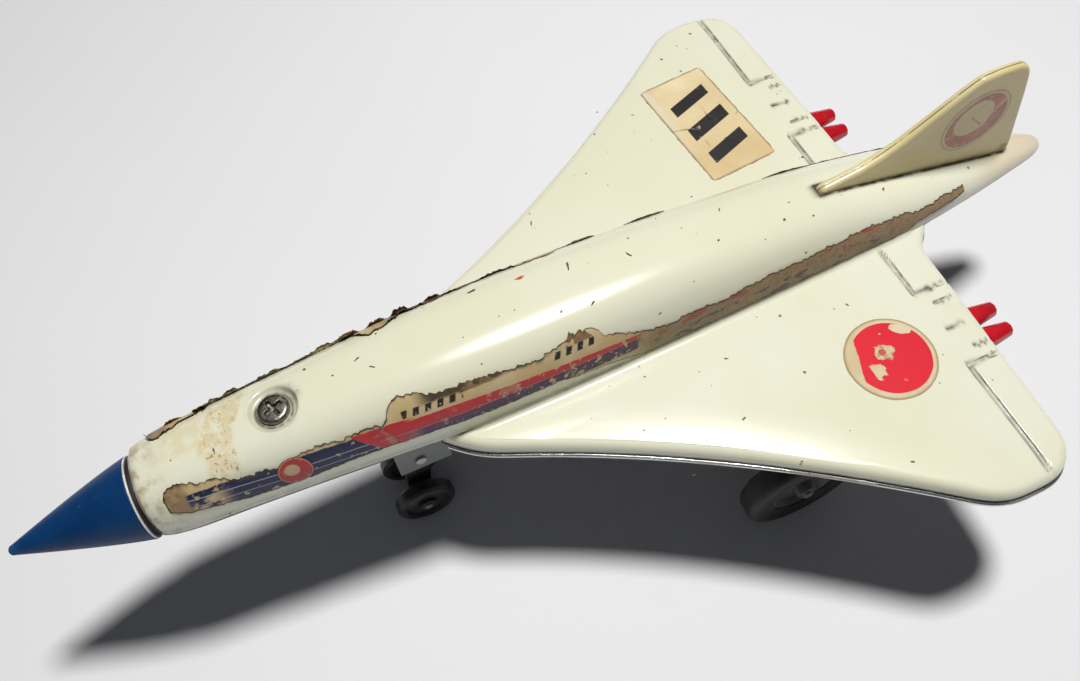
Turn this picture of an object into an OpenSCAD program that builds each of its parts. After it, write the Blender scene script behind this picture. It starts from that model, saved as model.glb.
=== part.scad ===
// Delta-wing toy jet airliner with a friction flywheel motor.
// +Z is up, the nose points along -Y and the port wing along +X.
// The origin is on the floor, under the middle of the length.

/* [Airframe] */
// Length from the nose tip to the tail end
body_l = 303; // [290:1:320]
// Height of the wing's upper face above the floor
wing_z = 62; // [58:1:70]
// Thickness of the enamelled sheet
sheet_t = 1; // [0.8:0.1:1.2]
// Depth of the shell's wall below the wing's upper face
wall_h = 4.6; // [4:0.1:6]
// Thickness of the lower wing plate
plate_t = 0.8; // [0.6:0.1:1]
// How far the bright rim stands out past the wing's edge
rim_out = 0.6; // [0.4:0.1:1]
// Depth of the bright rim
rim_h = 1.6; // [1.2:0.1:2]

/* [Nose and fin] */
// Length of the nose cone
nose_l = 34.6; // [30:0.1:40]
// Radius of the nose cone at its base
nose_r = 11; // [10:0.1:12]
// Thickness of one half of the fin
fin_half_t = 1.7; // [1.4:0.1:2]

/* [Engines] */
// Distance from the centreline to the middle of an engine pod
pod_x = 41.4; // [38:0.1:44]
// Width of an engine pod
pod_w = 19; // [17:0.5:21]
// Height of an engine pod
pod_h = 15; // [12:0.5:17]
// Distance between the two nozzles of a pod
nozzle_gap = 7.2; // [7:0.1:8]
// Radius of a nozzle at its root
nozzle_r = 3.4; // [3:0.1:3.5]

/* [Wheels] */
// Radius of a main wheel
main_r = 18; // [16:0.5:18]
// Width of a main wheel
main_w = 8; // [6:0.5:9]
// Distance from the centreline to the middle of a main wheel
main_x = 52; // [48:0.5:54]
// Position of the main axle along the body
main_y = 46; // [44:1:48]
// Radius of a nose wheel
nose_wheel_r = 9.1; // [8:0.1:10]
// Width of a nose wheel
nose_wheel_w = 4.4; // [4:0.1:5]
// Distance from the centreline to the middle of a nose wheel
nose_wheel_x = 7; // [6.8:0.1:8]
// Position of the nose axle along the body
nose_wheel_y = -55; // [-58:1:-52]

/* [Motor] */
// Gear tooth module
gear_m = 0.8; // [0.8]
// Teeth of the drive gear on the main axle
drive_n = 24; // [24]
// Teeth of the transfer pinion
pinion_n = 10; // [10]
// Teeth of the transfer gear
transfer_n = 26; // [26]
// Radius of the flywheel
flywheel_r = 11; // [9:0.5:11]
// Thickness of the flywheel
flywheel_w = 4; // [3:0.5:4]
// Half the distance between the motor's side plates
motor_half = 9.6; // [9.5:0.1:10]
// Radial clearance of a shaft in its hole
run_fit = 0.05; // [0.03:0.01:0.08]

/* [Hidden] */
$fn = 64;

// Stations along the fuselage, with heights over the wing:
// [y, half width, top, belly, lip where the shell ends]
STATIONS = [
    [-116.9, 11.0, 14.0, -8.6, 0.5],
    [-114, 12.0, 14.8, -8.7, 0.5],
    [-107, 13.0, 16.0, -8.9, 0.5],
    [-95, 13.6, 17.1, -9.1, 0.5],
    [-80, 14.5, 18.3, -9.3, 0.5],
    [-60, 15.9, 19.5, -9.6, 0.5],
    [-40, 17.2, 20.6, -9.9, 0.5],
    [-13, 17.5, 20.8, -10.2, 0.5],
    [20, 16.7, 20.3, -10.4, 0.5],
    [48, 15.7, 18.5, -10.4, 0.5],
    [72, 14.7, 16.2, -10.4, 0.5],
    [100, 13.2, 9.8, -10.2, -0.4],
    [120, 10.0, 4.8, -9.6, -2],
    [137.5, 6.3, 0.6, -8.6, -3.6],
    [147, 4.0, -1.4, -7.8, -4.4],
    [151.5, 1.8, -2.8, -7.0, -4.8]
];
fullness = 2.7;      // exponent of the fuselage's upper section; 2 is an ellipse
nose_y = -body_l / 2;
nose_base_y = nose_y + nose_l;
tail_y = body_l / 2;
nose_z = 2;          // height of the nose cone's axis over the wing
lip_z = -wall_h;
plate_z = lip_z - plate_t;

// Wing outline: leading edge x = a + b t + c t^2, with t counted from le_y0
le_x0 = 24.6;
le_y0 = -33;
le_b = 0.43;
le_c = 0.0018;
te_y = 95.2;         // trailing edge at the tip
te_root_y = 97;      // trailing edge at the root

motor_z = -wing_z + main_r;      // main axle below the wing's upper face
axle_r = 1.5;
shaft_r = 1;
nose_axle_r = 1.2;
screw_y = -80;
screw_z = 16.6;      // floor of the dimple under the screw's head
dimple_r = 5.6;
fin_y = [71, 138];   // root of the fin, front and rear
paper_t = 0.12;
pan_in = 0.5;        // the belly pan is set in by this much from the shell's lip

function transfer_d() = gear_m * (drive_n + pinion_n) / 2;
function flywheel_d() = gear_m * (transfer_n + pinion_n) / 2;
transfer_dy = -6;
transfer_y = main_y + transfer_dy;
transfer_z = motor_z + sqrt(pow(transfer_d(), 2) - pow(transfer_dy, 2));
flywheel_dy = 3;
flywheel_y = transfer_y + flywheel_dy;
flywheel_z = transfer_z + sqrt(pow(flywheel_d(), 2) - pow(flywheel_dy, 2));

// ---- curves ----

// Catmull-Rom through one column of the stations, at position y
function segment(y, i = 0) =
    i >= len(STATIONS) - 2 || y < STATIONS[i + 1][0] ? i : segment(y, i + 1);
function knot(i, col) = STATIONS[max(0, min(len(STATIONS) - 1, i))][col];
function slope(i, col) =
    let (a = max(0, i - 1), b = min(len(STATIONS) - 1, i + 1))
    (knot(b, col) - knot(a, col)) / (knot(b, 0) - knot(a, 0));
function along(y, col) =
    let (i = segment(y), h = knot(i + 1, 0) - knot(i, 0), t = (y - knot(i, 0)) / h)
    (2 * pow(t, 3) - 3 * pow(t, 2) + 1) * knot(i, col)
    + (pow(t, 3) - 2 * pow(t, 2) + t) * h * slope(i, col)
    + (3 * pow(t, 2) - 2 * pow(t, 3)) * knot(i + 1, col)
    + (pow(t, 3) - pow(t, 2)) * h * slope(i + 1, col);

function arc(c, r, a0, a1, n) =
    [for (i = [0:n]) let (a = a0 + (a1 - a0) * i / n) [c[0] + r * cos(a), c[1] + r * sin(a)]];
function flip(points) =
    [for (i = [len(points) - 1:-1:0]) [-points[i][0], points[i][1]]];
function leading(y) = le_x0 + le_b * (y - le_y0) + le_c * pow(y - le_y0, 2);

// Port half of the wing outline, from the front of its root to the rear of its root
WING = concat(
    [[15, -45.5], [19, -41.5], [22.2, -37.4]],
    [for (y = [le_y0:12.5:67]) [leading(y), y]],
    arc([71.5, 78.2], 18, -30, 0, 4),
    arc([78.5, 84.2], 11, 0, 86, 8),
    [[36, te_root_y - 0.2]],
    arc([22, te_root_y + 8], 8, -90, -150, 4)
);
WING_LOOP = concat(WING, [[11, 104]], [[-11, 104]], flip(WING));

// A closed outline moved outwards by d along its vertex normals
function unit(v) = v / norm(v);
function edge_normal(p, q) = let (e = unit(q - p)) [e[1], -e[0]];
function grow(loop, d) =
    [for (i = [0:len(loop) - 1])
        let (n = len(loop), p = loop[i],
             a = edge_normal(loop[(i + n - 1) % n], p),
             b = edge_normal(p, loop[(i + 1) % n]),
             m = unit(a + b))
        p + m * d / max(0.5, m * a)];

// ---- shared solids ----

// Closed skin through rings of points
module rings_solid(rings) {
    n = len(rings[0]);
    last = len(rings) - 1;
    polyhedron(
        points = [for (r = rings) each r],
        faces = concat(
            [[for (i = [n - 1:-1:0]) i]],
            [for (k = [0:last - 1], i = [0:n - 1])
                let (j = (i + 1) % n)
                each [[k * n + i, k * n + j, (k + 1) * n + j],
                      [k * n + i, (k + 1) * n + j, (k + 1) * n + i]]],
            [[for (i = [0:n - 1]) last * n + i]]
        ),
        convexity = 6
    );
}

ring_n = 18;
function mid(i) = (knot(i, 0) + knot(i + 1, 0)) / 2;
function stations_between(y0, y1) = concat(
    [y0],
    [for (i = [0:len(STATIONS) - 2]) each [for (y = [knot(i, 0), mid(i)])
        if (y > y0 + 0.8 && y < y1 - 0.8) y]],
    [y1]);
function swell(v) = sign(v) * pow(abs(v), 2 / fullness);

// Upper half of the fuselage, shrunk by s, with straight walls that go down by drop
module upper_fuselage(y0, y1, s, drop) {
    rings_solid([for (y = stations_between(y0, y1))
        let (w = along(y, 1) - s, lip = along(y, 4), h = along(y, 2) - s - lip)
        concat(
            [[w, y, lip - drop]],
            [for (i = [0:ring_n])
                let (a = 180 * i / ring_n) [w * swell(cos(a)), y, lip + h * swell(sin(a))]],
            [[-w, y, lip - drop]])]);
}

// Lower half of the fuselage, shrunk by s, up to rise above the shell's lip
module lower_fuselage(y0, y1, s, rise) {
    rings_solid([for (y = stations_between(y0, y1))
        let (w = along(y, 1) - pan_in - s, top = along(y, 4) + rise,
             d = top - along(y, 3) - s)
        [for (i = [0:ring_n])
            let (a = 180 * i / ring_n) [-w * cos(a), y, top - d * sin(a)]]]);
}

module slab(outline, z0, z1) {
    translate([0, 0, z0]) linear_extrude(z1 - z0) polygon(outline);
}

// Solids drawn with their axis along X, between x0 and x1
module along_x(x0, y, z) {
    translate([x0, y, z]) rotate([90, 0, 90]) children();
}
module rod(x0, x1, y, z, r) {
    along_x(min(x0, x1), y, z) cylinder(h = abs(x1 - x0), r = r);
}

// Involute tooth outline: pressure angle 28 degrees, stub teeth, thinned for backlash
pressure = 28;
tooth_top = 0.75;
tooth_root = 1;
backlash = 0.2;
function involute_angle(r, base) = r <= base ? 0
    : let (t = sqrt(pow(r / base, 2) - 1)) t * 180 / PI - atan(t);
function gear_points(n) =
    let (rp = gear_m * n / 2, rb = rp * cos(pressure),
         ra = rp + tooth_top * gear_m, rr = rp - tooth_root * gear_m,
         half = 90 / n - backlash / 2 / rp * 180 / PI / 2 + involute_angle(rp, rb),
         steps = [rr, max(rr + 0.01, rb), (rb + rp) / 2, rp, (rp + ra) / 2, ra])
    [for (k = [0:n - 1]) each concat(
        [for (r = steps) let (a = 360 * k / n - half + involute_angle(r, rb))
            [r * cos(a), r * sin(a)]],
        [for (i = [len(steps) - 1:-1:0])
            let (r = steps[i], a = 360 * k / n + half - involute_angle(r, rb))
            [r * cos(a), r * sin(a)]])];
module gear(n, w, bore) {
    difference() {
        linear_extrude(w) polygon(gear_points(n));
        translate([0, 0, -1]) cylinder(h = w + 2, r = bore);
    }
}

// ---- airframe ----

module fin_profile(d = 0) {
    polygon([
        [fin_y[0] - d, 15.2], [fin_y[0] - d, 16.6 + d],
        [84, 19.2 + d], [95, 24.2 + d], [105, 31.2 + d], [115.5, 38 + d],
        [127.6 + d, 37.4 + d], [131.6 + d, 32.2], [fin_y[1] + d, 1.6], [fin_y[1] + d, -1.2]
    ]);
}
module fin_blade(x0, x1, d = 0) {
    translate([x0, 0, wing_z]) rotate([90, 0, 90]) linear_extrude(x1 - x0) fin_profile(d);
}

module upper_shell() {
    color("ivory")
    difference() {
        translate([0, 0, wing_z]) difference() {
            union() {
                difference() {
                    union() {
                        upper_fuselage(nose_base_y, tail_y, 0, 0.01);
                        slab(WING_LOOP, lip_z, 0);
                    }
                    upper_fuselage(nose_base_y - 1, tail_y - 1.4, sheet_t, wall_h + 2);
                    slab(grow(WING_LOOP, -sheet_t), lip_z - 1, -sheet_t);
                }
                translate([0, screw_y, screw_z - sheet_t]) cylinder(h = 1.9, r = dimple_r + 1);
            }
            translate([0, screw_y, screw_z]) cylinder(h = 10, r = dimple_r);
            translate([0, screw_y, 10]) cylinder(h = 10, r = 2.1);
        }
        fin_blade(-fin_half_t - 0.05, fin_half_t + 0.05, 0.05);
    }
}

module under_plate() {
    color("dimgray")
    translate([0, 0, wing_z]) slab(WING_LOOP, plate_z, lip_z);
}

module belly_pan() {
    color("dimgray")
    translate([0, 0, wing_z]) difference() {
        lower_fuselage(nose_base_y + 0.2, tail_y - 0.6, 0, 0);
        lower_fuselage(nose_base_y - 1, tail_y - 1.8, plate_t, 0.01);
        slab(grow(WING_LOOP, 0.1), plate_z, 3);
        translate([-motor_half - 2, main_y - 22, -20]) cube([2 * motor_half + 4, 38, 20]);
        translate([-9.2, -60.4, -20]) cube([18.4, 18, 20]);
    }
}

rim_in = 1.6;        // width of the rim under the lower wing plate
rim_low = plate_z - rim_h / 2;
// Band along the wing's edge that the rim fills, larger by d on every side
module rim_band(d = 0) {
    difference() {
        slab(grow(WING_LOOP, rim_out + d), rim_low - d, rim_low + rim_h);
        slab(grow(WING_LOOP, -rim_in - d), rim_low - 1, 0);
    }
}
module rim(side) {
    color("gainsboro")
    translate([0, 0, wing_z]) intersection() {
        difference() {
            rim_band();
            slab(grow(WING_LOOP, 0.05), plate_z, 0);
        }
        translate([side > 0 ? 17.2 : -117.2, -80, -20]) cube([100, 200, 20]);
    }
}

module nose_cone() {
    color("navy")
    translate([0, nose_base_y - 1.6, wing_z + nose_z]) rotate([90, 0, 0])
        rotate_extrude() polygon(concat(
            [[0, -6], [8.2, -6], [8.2, 0]],
            [for (i = [0:14])
                let (t = i / 14, len_c = nose_l - 1.6)
                [1.5 + (nose_r - 1.5) * (1 - pow(t, 1.12)), (len_c - 1.2) * t]],
            [[1.1, nose_l - 2.0], [0.5, nose_l - 1.67], [0, nose_l - 1.6]]
        ));
}

module nose_collar() {
    color("white")
    translate([0, nose_base_y, wing_z + nose_z]) rotate([90, 0, 0])
        rotate_extrude() polygon([
            [8.25, -2.4], [9.6, -2.4], [9.6, 0], [10.7, 0], [10.7, 0.8], [10.3, 0.8],
            [10.3, 1.55], [8.25, 1.55]
        ]);
}

module fin_half(side) {
    color("wheat")
    fin_blade(side > 0 ? 0 : -fin_half_t, side > 0 ? fin_half_t : 0);
}

// ---- engines ----

pod_y = 71;           // front of the pod's flat bottom
pod_end = 96.4;       // just inside the trailing edge
nozzle_l = 8.9;       // straight length of a nozzle, before its taper
nozzle_root = 5.6;    // how far a nozzle's spigot goes into its pod
nozzle_drop = 4.4;    // nozzle axis below the middle of the pod

module engine_pod(side) {
    color("silver")
    difference() {
        engine_pod_block(side);
        translate([0, 0, wing_z]) rim_band(0.05);
    }
}
module engine_pod_block(side) {
    translate([side * pod_x, 0, wing_z]) difference() {
        union() {
            translate([-pod_w / 2, pod_y, plate_z - pod_h]) cube([pod_w, pod_end - pod_y, pod_h]);
            translate([0, pod_y, plate_z]) rotate([90, 0, 90]) translate([0, 0, -pod_w / 2])
                linear_extrude(pod_w) polygon([[0, 0], [0, -pod_h], [-10, 0]]);
        }
        for (s = [-1, 1])
            translate([s * nozzle_gap / 2, pod_end - 6, plate_z - pod_h / 2 - nozzle_drop])
                rotate([-90, 0, 0]) cylinder(h = 10, r = 2.6);
    }
}

module nozzle(x) {
    color("crimson")
    translate([x, pod_end - nozzle_root, wing_z + plate_z - pod_h / 2 - nozzle_drop])
    rotate([-90, 0, 0]) {
        cylinder(h = 5.8, r = 2.55);
        translate([0, 0, 5.7]) cylinder(h = nozzle_l, r = nozzle_r, $fn = 10);
        translate([0, 0, 5.7 + nozzle_l]) {
            cylinder(h = 6.2, r1 = nozzle_r, r2 = nozzle_r * 0.68, $fn = 10);
            translate([0, 0, 6.2])
                cylinder(h = 1.2, r1 = nozzle_r * 0.68, r2 = nozzle_r * 0.3, $fn = 10);
        }
    }
}

// ---- fasteners and decoration ----

module top_screw() {
    color("dimgray")
    translate([0, screw_y, wing_z + screw_z]) difference() {
        union() {
            cylinder(h = 0.9, r = 4);
            translate([0, 0, 0.9]) cylinder(h = 0.8, r1 = 4, r2 = 2.8);
            translate([0, 0, -12]) cylinder(h = 12, r = 1.9);
        }
        for (a = [0, 90]) rotate([0, 0, a]) translate([-2.4, -0.45, 0.3]) cube([4.8, 0.9, 3]);
    }
}

module screw_post() {
    color("silver")
    translate([0, screw_y, wing_z]) difference() {
        translate([0, 0, -8]) cylinder(h = 8 + screw_z - sheet_t, r = 4);
        translate([0, 0, 2]) cylinder(h = 20, r = 1.95);
    }
}

module roundel_left() {
    color("firebrick")
    translate([45.2, 68.5, wing_z]) cylinder(h = paper_t, r = 12);
}

module label_right() {
    color("wheat")
    translate([-47.2, 65.6, wing_z]) rotate([0, 0, 5]) translate([-20.5, -11, 0])
        cube([41, 22, paper_t]);
}

// ---- nose gear ----

bracket_low = -27.5;
module nose_bracket() {
    color("darkgray")
    translate([0, 0, wing_z]) difference() {
        translate([-8.8, -58.6, bracket_low]) cube([17.6, 15.2, plate_z - bracket_low]);
        translate([-6.8, -60, bracket_low - 1]) cube([13.6, 18, plate_z - bracket_low - 1]);
        rod(-10, 10, -52, -22, 1.55);
    }
}

module nose_strut_pin() {
    color("silver")
    translate([0, 0, wing_z]) rod(-9.6, 9.6, -52, -22, 1.5);
}

module nose_strut() {
    color([0.16, 0.16, 0.17])
    translate([0, 0, wing_z]) difference() {
        union() {
            translate([-6.7, -56.5, -26]) cube([13.4, 9.4, 17]);
            hull() {
                rod(-3, 3, -52, -24, 4.4);
                rod(-3, 3, nose_wheel_y, -wing_z + nose_wheel_r, 3.4);
            }
        }
        rod(-10, 10, -52, -22, 1.5);
        rod(-10, 10, nose_wheel_y, -wing_z + nose_wheel_r, nose_axle_r + run_fit);
    }
}

module nose_axle() {
    color("silver")
    rod(-10, 10, nose_wheel_y, nose_wheel_r, nose_axle_r);
}

// Disc wheel with a dished outer face; the outer face looks along side
module nose_wheel(side) {
    color([0.08, 0.08, 0.09])
    translate([side * nose_wheel_x, nose_wheel_y, nose_wheel_r])
        rotate([0, 90 * side, 0]) rotate_extrude() polygon([
            [nose_axle_r, -nose_wheel_w / 2 - 0.8], [2.6, -nose_wheel_w / 2 - 0.8],
            [2.6, -nose_wheel_w / 2 + 0.6], [6.2, -nose_wheel_w / 2 + 0.6],
            [6.6, -nose_wheel_w / 2], [8.3, -nose_wheel_w / 2],
            [nose_wheel_r, -nose_wheel_w / 2 + 0.9], [nose_wheel_r, nose_wheel_w / 2 - 0.9],
            [8.3, nose_wheel_w / 2], [6.6, nose_wheel_w / 2],
            [6.2, nose_wheel_w / 2 - 0.8], [2.8, nose_wheel_w / 2 - 0.8],
            [2.6, nose_wheel_w / 2 + 0.4], [nose_axle_r, nose_wheel_w / 2 + 0.4]
        ]);
}

// ---- main gear and motor ----

flange_w = 1.8;      // foot of a motor side plate, riveted to the lower wing plate
module motor_plate(side) {
    color("silver")
    translate([0, 0, wing_z]) difference() {
        union() {
            translate([side * motor_half + (side > 0 ? 0 : -1), 0, 0]) rotate([90, 0, 90])
                linear_extrude(1) polygon([
                    [main_y - 18, plate_z], [main_y + 13, plate_z],
                    [main_y + 11, motor_z + 6], [main_y + 5, motor_z - 5],
                    [main_y - 5, motor_z - 5], [main_y - 18, transfer_z - 4]
                ]);
            translate([side * (motor_half + flange_w / 2) - flange_w / 2, main_y - 18, plate_z - 1])
                cube([flange_w, 31, 1]);
        }
        rod(-20, 20, main_y, motor_z, axle_r + run_fit);
        rod(-20, 20, transfer_y, transfer_z, shaft_r + run_fit);
        rod(-20, 20, flywheel_y, flywheel_z, shaft_r + run_fit);
        for (p = SPACERS) rod(-20, 20, p[0], p[1], 1.05);
    }
}

SPACERS = [[main_y - 15, -12], [main_y + 10, -12], [main_y + 8, motor_z + 12]];
module motor_spacers() {
    color("silver")
    translate([0, 0, wing_z]) for (p = SPACERS) {
        rod(-motor_half, motor_half, p[0], p[1], 1.8);
        rod(-motor_half - 1.8, motor_half + 1.8, p[0], p[1], 1);
    }
}

leg_x = main_x - main_w / 2 - 3.4;
module main_leg(side) {
    color([0.2, 0.2, 0.21])
    translate([0, 0, wing_z]) difference() {
        union() {
            translate([side * leg_x - 1, 0, 0]) rotate([90, 0, 90]) linear_extrude(2) polygon([
                [main_y - 12, plate_z], [main_y + 12, plate_z],
                [main_y + 4.4, motor_z - 1], [main_y + 2.6, motor_z - 4.4],
                [main_y - 2.6, motor_z - 4.4], [main_y - 4.4, motor_z - 1]
            ]);
            translate([side * leg_x - 4, main_y - 12, plate_z - 1.2]) cube([8, 24, 1.2]);
            rod(side * leg_x - 1.6, side * leg_x + 1.6, main_y, motor_z, 3.2);
        }
        rod(-80, 80, main_y, motor_z, axle_r + run_fit);
    }
}

module main_axle() {
    color("silver")
    rod(-main_x - main_w / 2 - 1.4, main_x + main_w / 2 + 1.4, main_y, main_r, axle_r);
}

hub_r = 10.4;
module main_hub(side) {
    color("silver")
    translate([side * main_x, main_y, main_r]) rotate([0, 90 * side, 0]) {
        half = main_w / 2;
        rotate_extrude() polygon([
            [axle_r, -half], [3.2, -half], [3.2, -1.4], [8.6, -1.4], [8.6, -half + 1],
            [hub_r, -half + 1], [hub_r, half - 1], [9.2, half - 1], [8.6, half - 2.6],
            [3.4, half - 2], [2.9, half + 0.5], [axle_r, half + 0.5]
        ]);
    }
}

module main_tyre(side) {
    color([0.07, 0.07, 0.08])
    translate([side * main_x, main_y, main_r]) rotate([0, 90 * side, 0]) {
        half = main_w / 2;
        rotate_extrude() polygon(concat(
            [[hub_r + 0.02, -half + 0.6]],
            arc([main_r - 2.2, -half + 2.2], 2.2, -90, 0, 6),
            arc([main_r - 2.2, half - 2.2], 2.2, 0, 90, 6),
            [[hub_r + 0.02, half - 0.6]]
        ));
    }
}

// Tooth of the driver and gap of the follower meet on the line between the centres
transfer_a = atan2(transfer_z - motor_z, transfer_y - main_y);
flywheel_a = atan2(flywheel_z - transfer_z, flywheel_y - transfer_y);
module drive_gear() {
    color("goldenrod")
    along_x(3, main_y, main_r) rotate([0, 0, transfer_a]) gear(drive_n, 3, axle_r);
}
module transfer_pinion() {
    color("goldenrod")
    along_x(2.6, transfer_y, transfer_z + wing_z)
        rotate([0, 0, transfer_a + 180 + 180 / pinion_n]) gear(pinion_n, 3.8, shaft_r);
}
module transfer_gear() {
    color("goldenrod")
    along_x(-1.6, transfer_y, transfer_z + wing_z) rotate([0, 0, flywheel_a])
        gear(transfer_n, 2, shaft_r);
}
module transfer_shaft() {
    color("silver")
    rod(-motor_half - 1.6, motor_half + 1.6, transfer_y, transfer_z + wing_z, shaft_r);
}
module flywheel_pinion() {
    color("goldenrod")
    along_x(-2, flywheel_y, flywheel_z + wing_z)
        rotate([0, 0, flywheel_a + 180 + 180 / pinion_n]) gear(pinion_n, 2.8, shaft_r);
}
module flywheel_shaft() {
    color("silver")
    rod(-motor_half - 1.6, motor_half + 1.6, flywheel_y, flywheel_z + wing_z, shaft_r);
}
module flywheel() {
    color("slategray")
    along_x(-3.2 - flywheel_w, flywheel_y, flywheel_z + wing_z) rotate_extrude() polygon([
        [shaft_r, 0], [4, 0], [4, 0.8], [7.6, 0.8], [7.6, 0], [flywheel_r, 0],
        [flywheel_r, flywheel_w], [7.6, flywheel_w], [7.6, flywheel_w - 0.8],
        [4, flywheel_w - 0.8], [4, flywheel_w], [shaft_r, flywheel_w]
    ]);
}

// Rivet heads that hold the main gear legs and the motor to the lower plate
module belly_rivets() {
    color("silver")
    translate([0, 0, wing_z + plate_z])
        for (s = [-1, 1], y = [main_y - 9, main_y + 9])
            translate([s * (leg_x + 2.6), y, -2]) cylinder(h = 0.8, r1 = 0.9, r2 = 1.3);
}

upper_shell();
under_plate();
belly_pan();
rim(1);  // rim_left
rim(-1);  // rim_right
nose_cone();
nose_collar();
fin_half(1);  // fin_left
fin_half(-1);  // fin_right
engine_pod(1);  // engine_pod_left
engine_pod(-1);  // engine_pod_right
nozzle(pod_x + nozzle_gap / 2);  // nozzle_left_outer
nozzle(pod_x - nozzle_gap / 2);  // nozzle_left_inner
nozzle(-pod_x + nozzle_gap / 2);  // nozzle_right_inner
nozzle(-pod_x - nozzle_gap / 2);  // nozzle_right_outer
top_screw();
screw_post();
roundel_left();
label_right();
nose_bracket();
nose_strut();
nose_strut_pin();
nose_axle();
nose_wheel(1);  // nose_wheel_left
nose_wheel(-1);  // nose_wheel_right
motor_plate(1);  // motor_plate_left
motor_plate(-1);  // motor_plate_right
motor_spacers();
main_leg(1);  // main_leg_left
main_leg(-1);  // main_leg_right
main_axle();
drive_gear();
main_hub(1);  // main_hub_left
main_tyre(1);  // main_tyre_left
main_hub(-1);  // main_hub_right
main_tyre(-1);  // main_tyre_right
transfer_shaft();
transfer_pinion();
transfer_gear();
flywheel_shaft();
flywheel_pinion();
flywheel();
belly_rivets();
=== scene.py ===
import bmesh
import bpy
import math
import numpy as np
from mathutils import Matrix, Vector


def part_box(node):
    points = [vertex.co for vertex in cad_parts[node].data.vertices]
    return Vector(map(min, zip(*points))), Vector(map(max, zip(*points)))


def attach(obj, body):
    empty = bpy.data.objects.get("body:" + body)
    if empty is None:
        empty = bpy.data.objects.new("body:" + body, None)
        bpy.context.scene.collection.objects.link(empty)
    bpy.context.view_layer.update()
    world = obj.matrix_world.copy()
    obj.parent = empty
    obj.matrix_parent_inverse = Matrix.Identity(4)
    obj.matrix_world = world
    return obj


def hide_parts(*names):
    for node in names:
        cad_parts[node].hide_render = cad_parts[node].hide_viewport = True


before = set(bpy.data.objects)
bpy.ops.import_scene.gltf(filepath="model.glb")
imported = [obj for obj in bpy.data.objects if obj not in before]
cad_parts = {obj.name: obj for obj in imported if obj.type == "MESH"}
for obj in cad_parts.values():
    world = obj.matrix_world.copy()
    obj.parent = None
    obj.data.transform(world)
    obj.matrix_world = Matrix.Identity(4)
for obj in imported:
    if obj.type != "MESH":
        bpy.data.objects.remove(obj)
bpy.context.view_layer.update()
scene = bpy.context.scene
wingTop = 62.0          # height of the wing's upper face over the floor, mm
milli = 0.001


def nodeMiddle(node):
    # middle of a CAD node's box, in mm with heights over the wing's upper face
    low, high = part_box(node)
    return [(a + b) / 2 / milli - c for a, b, c in zip(low, high, (0, 0, wingTop))]


# camera and light
cameraView = {"place": (0.1246, -0.0533, 0.2856), "azimuth": 71.17, "elevation": 59.68, "roll": -6.01,
              "lens": 32.35, "sensor": 36.0}


def aimCamera(v):
    # right, up and back axes from azimuth and elevation, then turned by the roll about the view axis
    a, e, r = (math.radians(v[k]) for k in ("azimuth", "elevation", "roll"))
    back = Vector((math.sin(a) * math.cos(e), -math.cos(a) * math.cos(e), math.sin(e)))
    right = Vector((math.cos(a), math.sin(a), 0))
    up = back.cross(right)
    turnedRight = right * math.cos(r) + up * math.sin(r)
    turnedUp = up * math.cos(r) - right * math.sin(r)
    data = bpy.data.cameras.new("camera")
    data.lens, data.sensor_width, data.sensor_fit = v["lens"], v["sensor"], "HORIZONTAL"
    data.clip_start = 0.01
    camera = bpy.data.objects.new("camera", data)
    axes = Matrix((turnedRight, turnedUp, back)).transposed()
    camera.matrix_world = Matrix.Translation(v["place"]) @ axes.to_4x4()
    scene.collection.objects.link(camera)
    scene.camera = camera


aimCamera(cameraView)
lamps = [
    {"name": "overhead", "place": (-0.055, 0.165, 1.05), "aim": (0, 0, 0.05), "size": 0.16, "power": 11.2,
     "colour": (1.0, 0.99, 0.965)},
    {"name": "room", "place": (0.9, -0.7, 1.5), "aim": (0, 0, 0.05), "size": 1.6, "power": 0.5,
     "colour": (0.93, 0.96, 1.0)},
]
roomFill = {"colour": (0.90, 0.94, 1.0, 1), "strength": 0.05, "wall": (0.78, 0.79, 0.80, 1)}


def hangLamp(lamp):
    light = bpy.data.lights.new(lamp["name"], "AREA")
    light.shape, light.size, light.energy, light.color = "DISK", lamp["size"], lamp["power"], lamp["colour"]
    holder = bpy.data.objects.new(lamp["name"], light)
    holder.location = lamp["place"]
    away = Vector(lamp["place"]) - Vector(lamp["aim"])
    holder.rotation_euler = away.to_track_quat("Z", "Y").to_euler()
    scene.collection.objects.link(holder)


def fillRoom(v):
    # a weak even fill; the pale wall is only seen directly and gives no light
    room = bpy.data.worlds.new("room")
    room.use_nodes = True
    nodes, links = room.node_tree.nodes, room.node_tree.links
    fill, wall = nodes["Background"], nodes.new("ShaderNodeBackground")
    fill.inputs["Color"].default_value, fill.inputs["Strength"].default_value = v["colour"], v["strength"]
    wall.inputs["Color"].default_value = v["wall"]
    seen, either = nodes.new("ShaderNodeLightPath"), nodes.new("ShaderNodeMixShader")
    joins = ((seen.outputs["Is Camera Ray"], either.inputs[0]), (fill.outputs[0], either.inputs[1]),
             (wall.outputs[0], either.inputs[2]), (either.outputs[0], nodes["World Output"].inputs[0]))
    for source, target in joins:
        links.new(source, target)
    scene.world = room


for lamp in lamps:
    hangLamp(lamp)
fillRoom(roomFill)
scene.view_settings.view_transform = "Standard"

# shader maths


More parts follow.
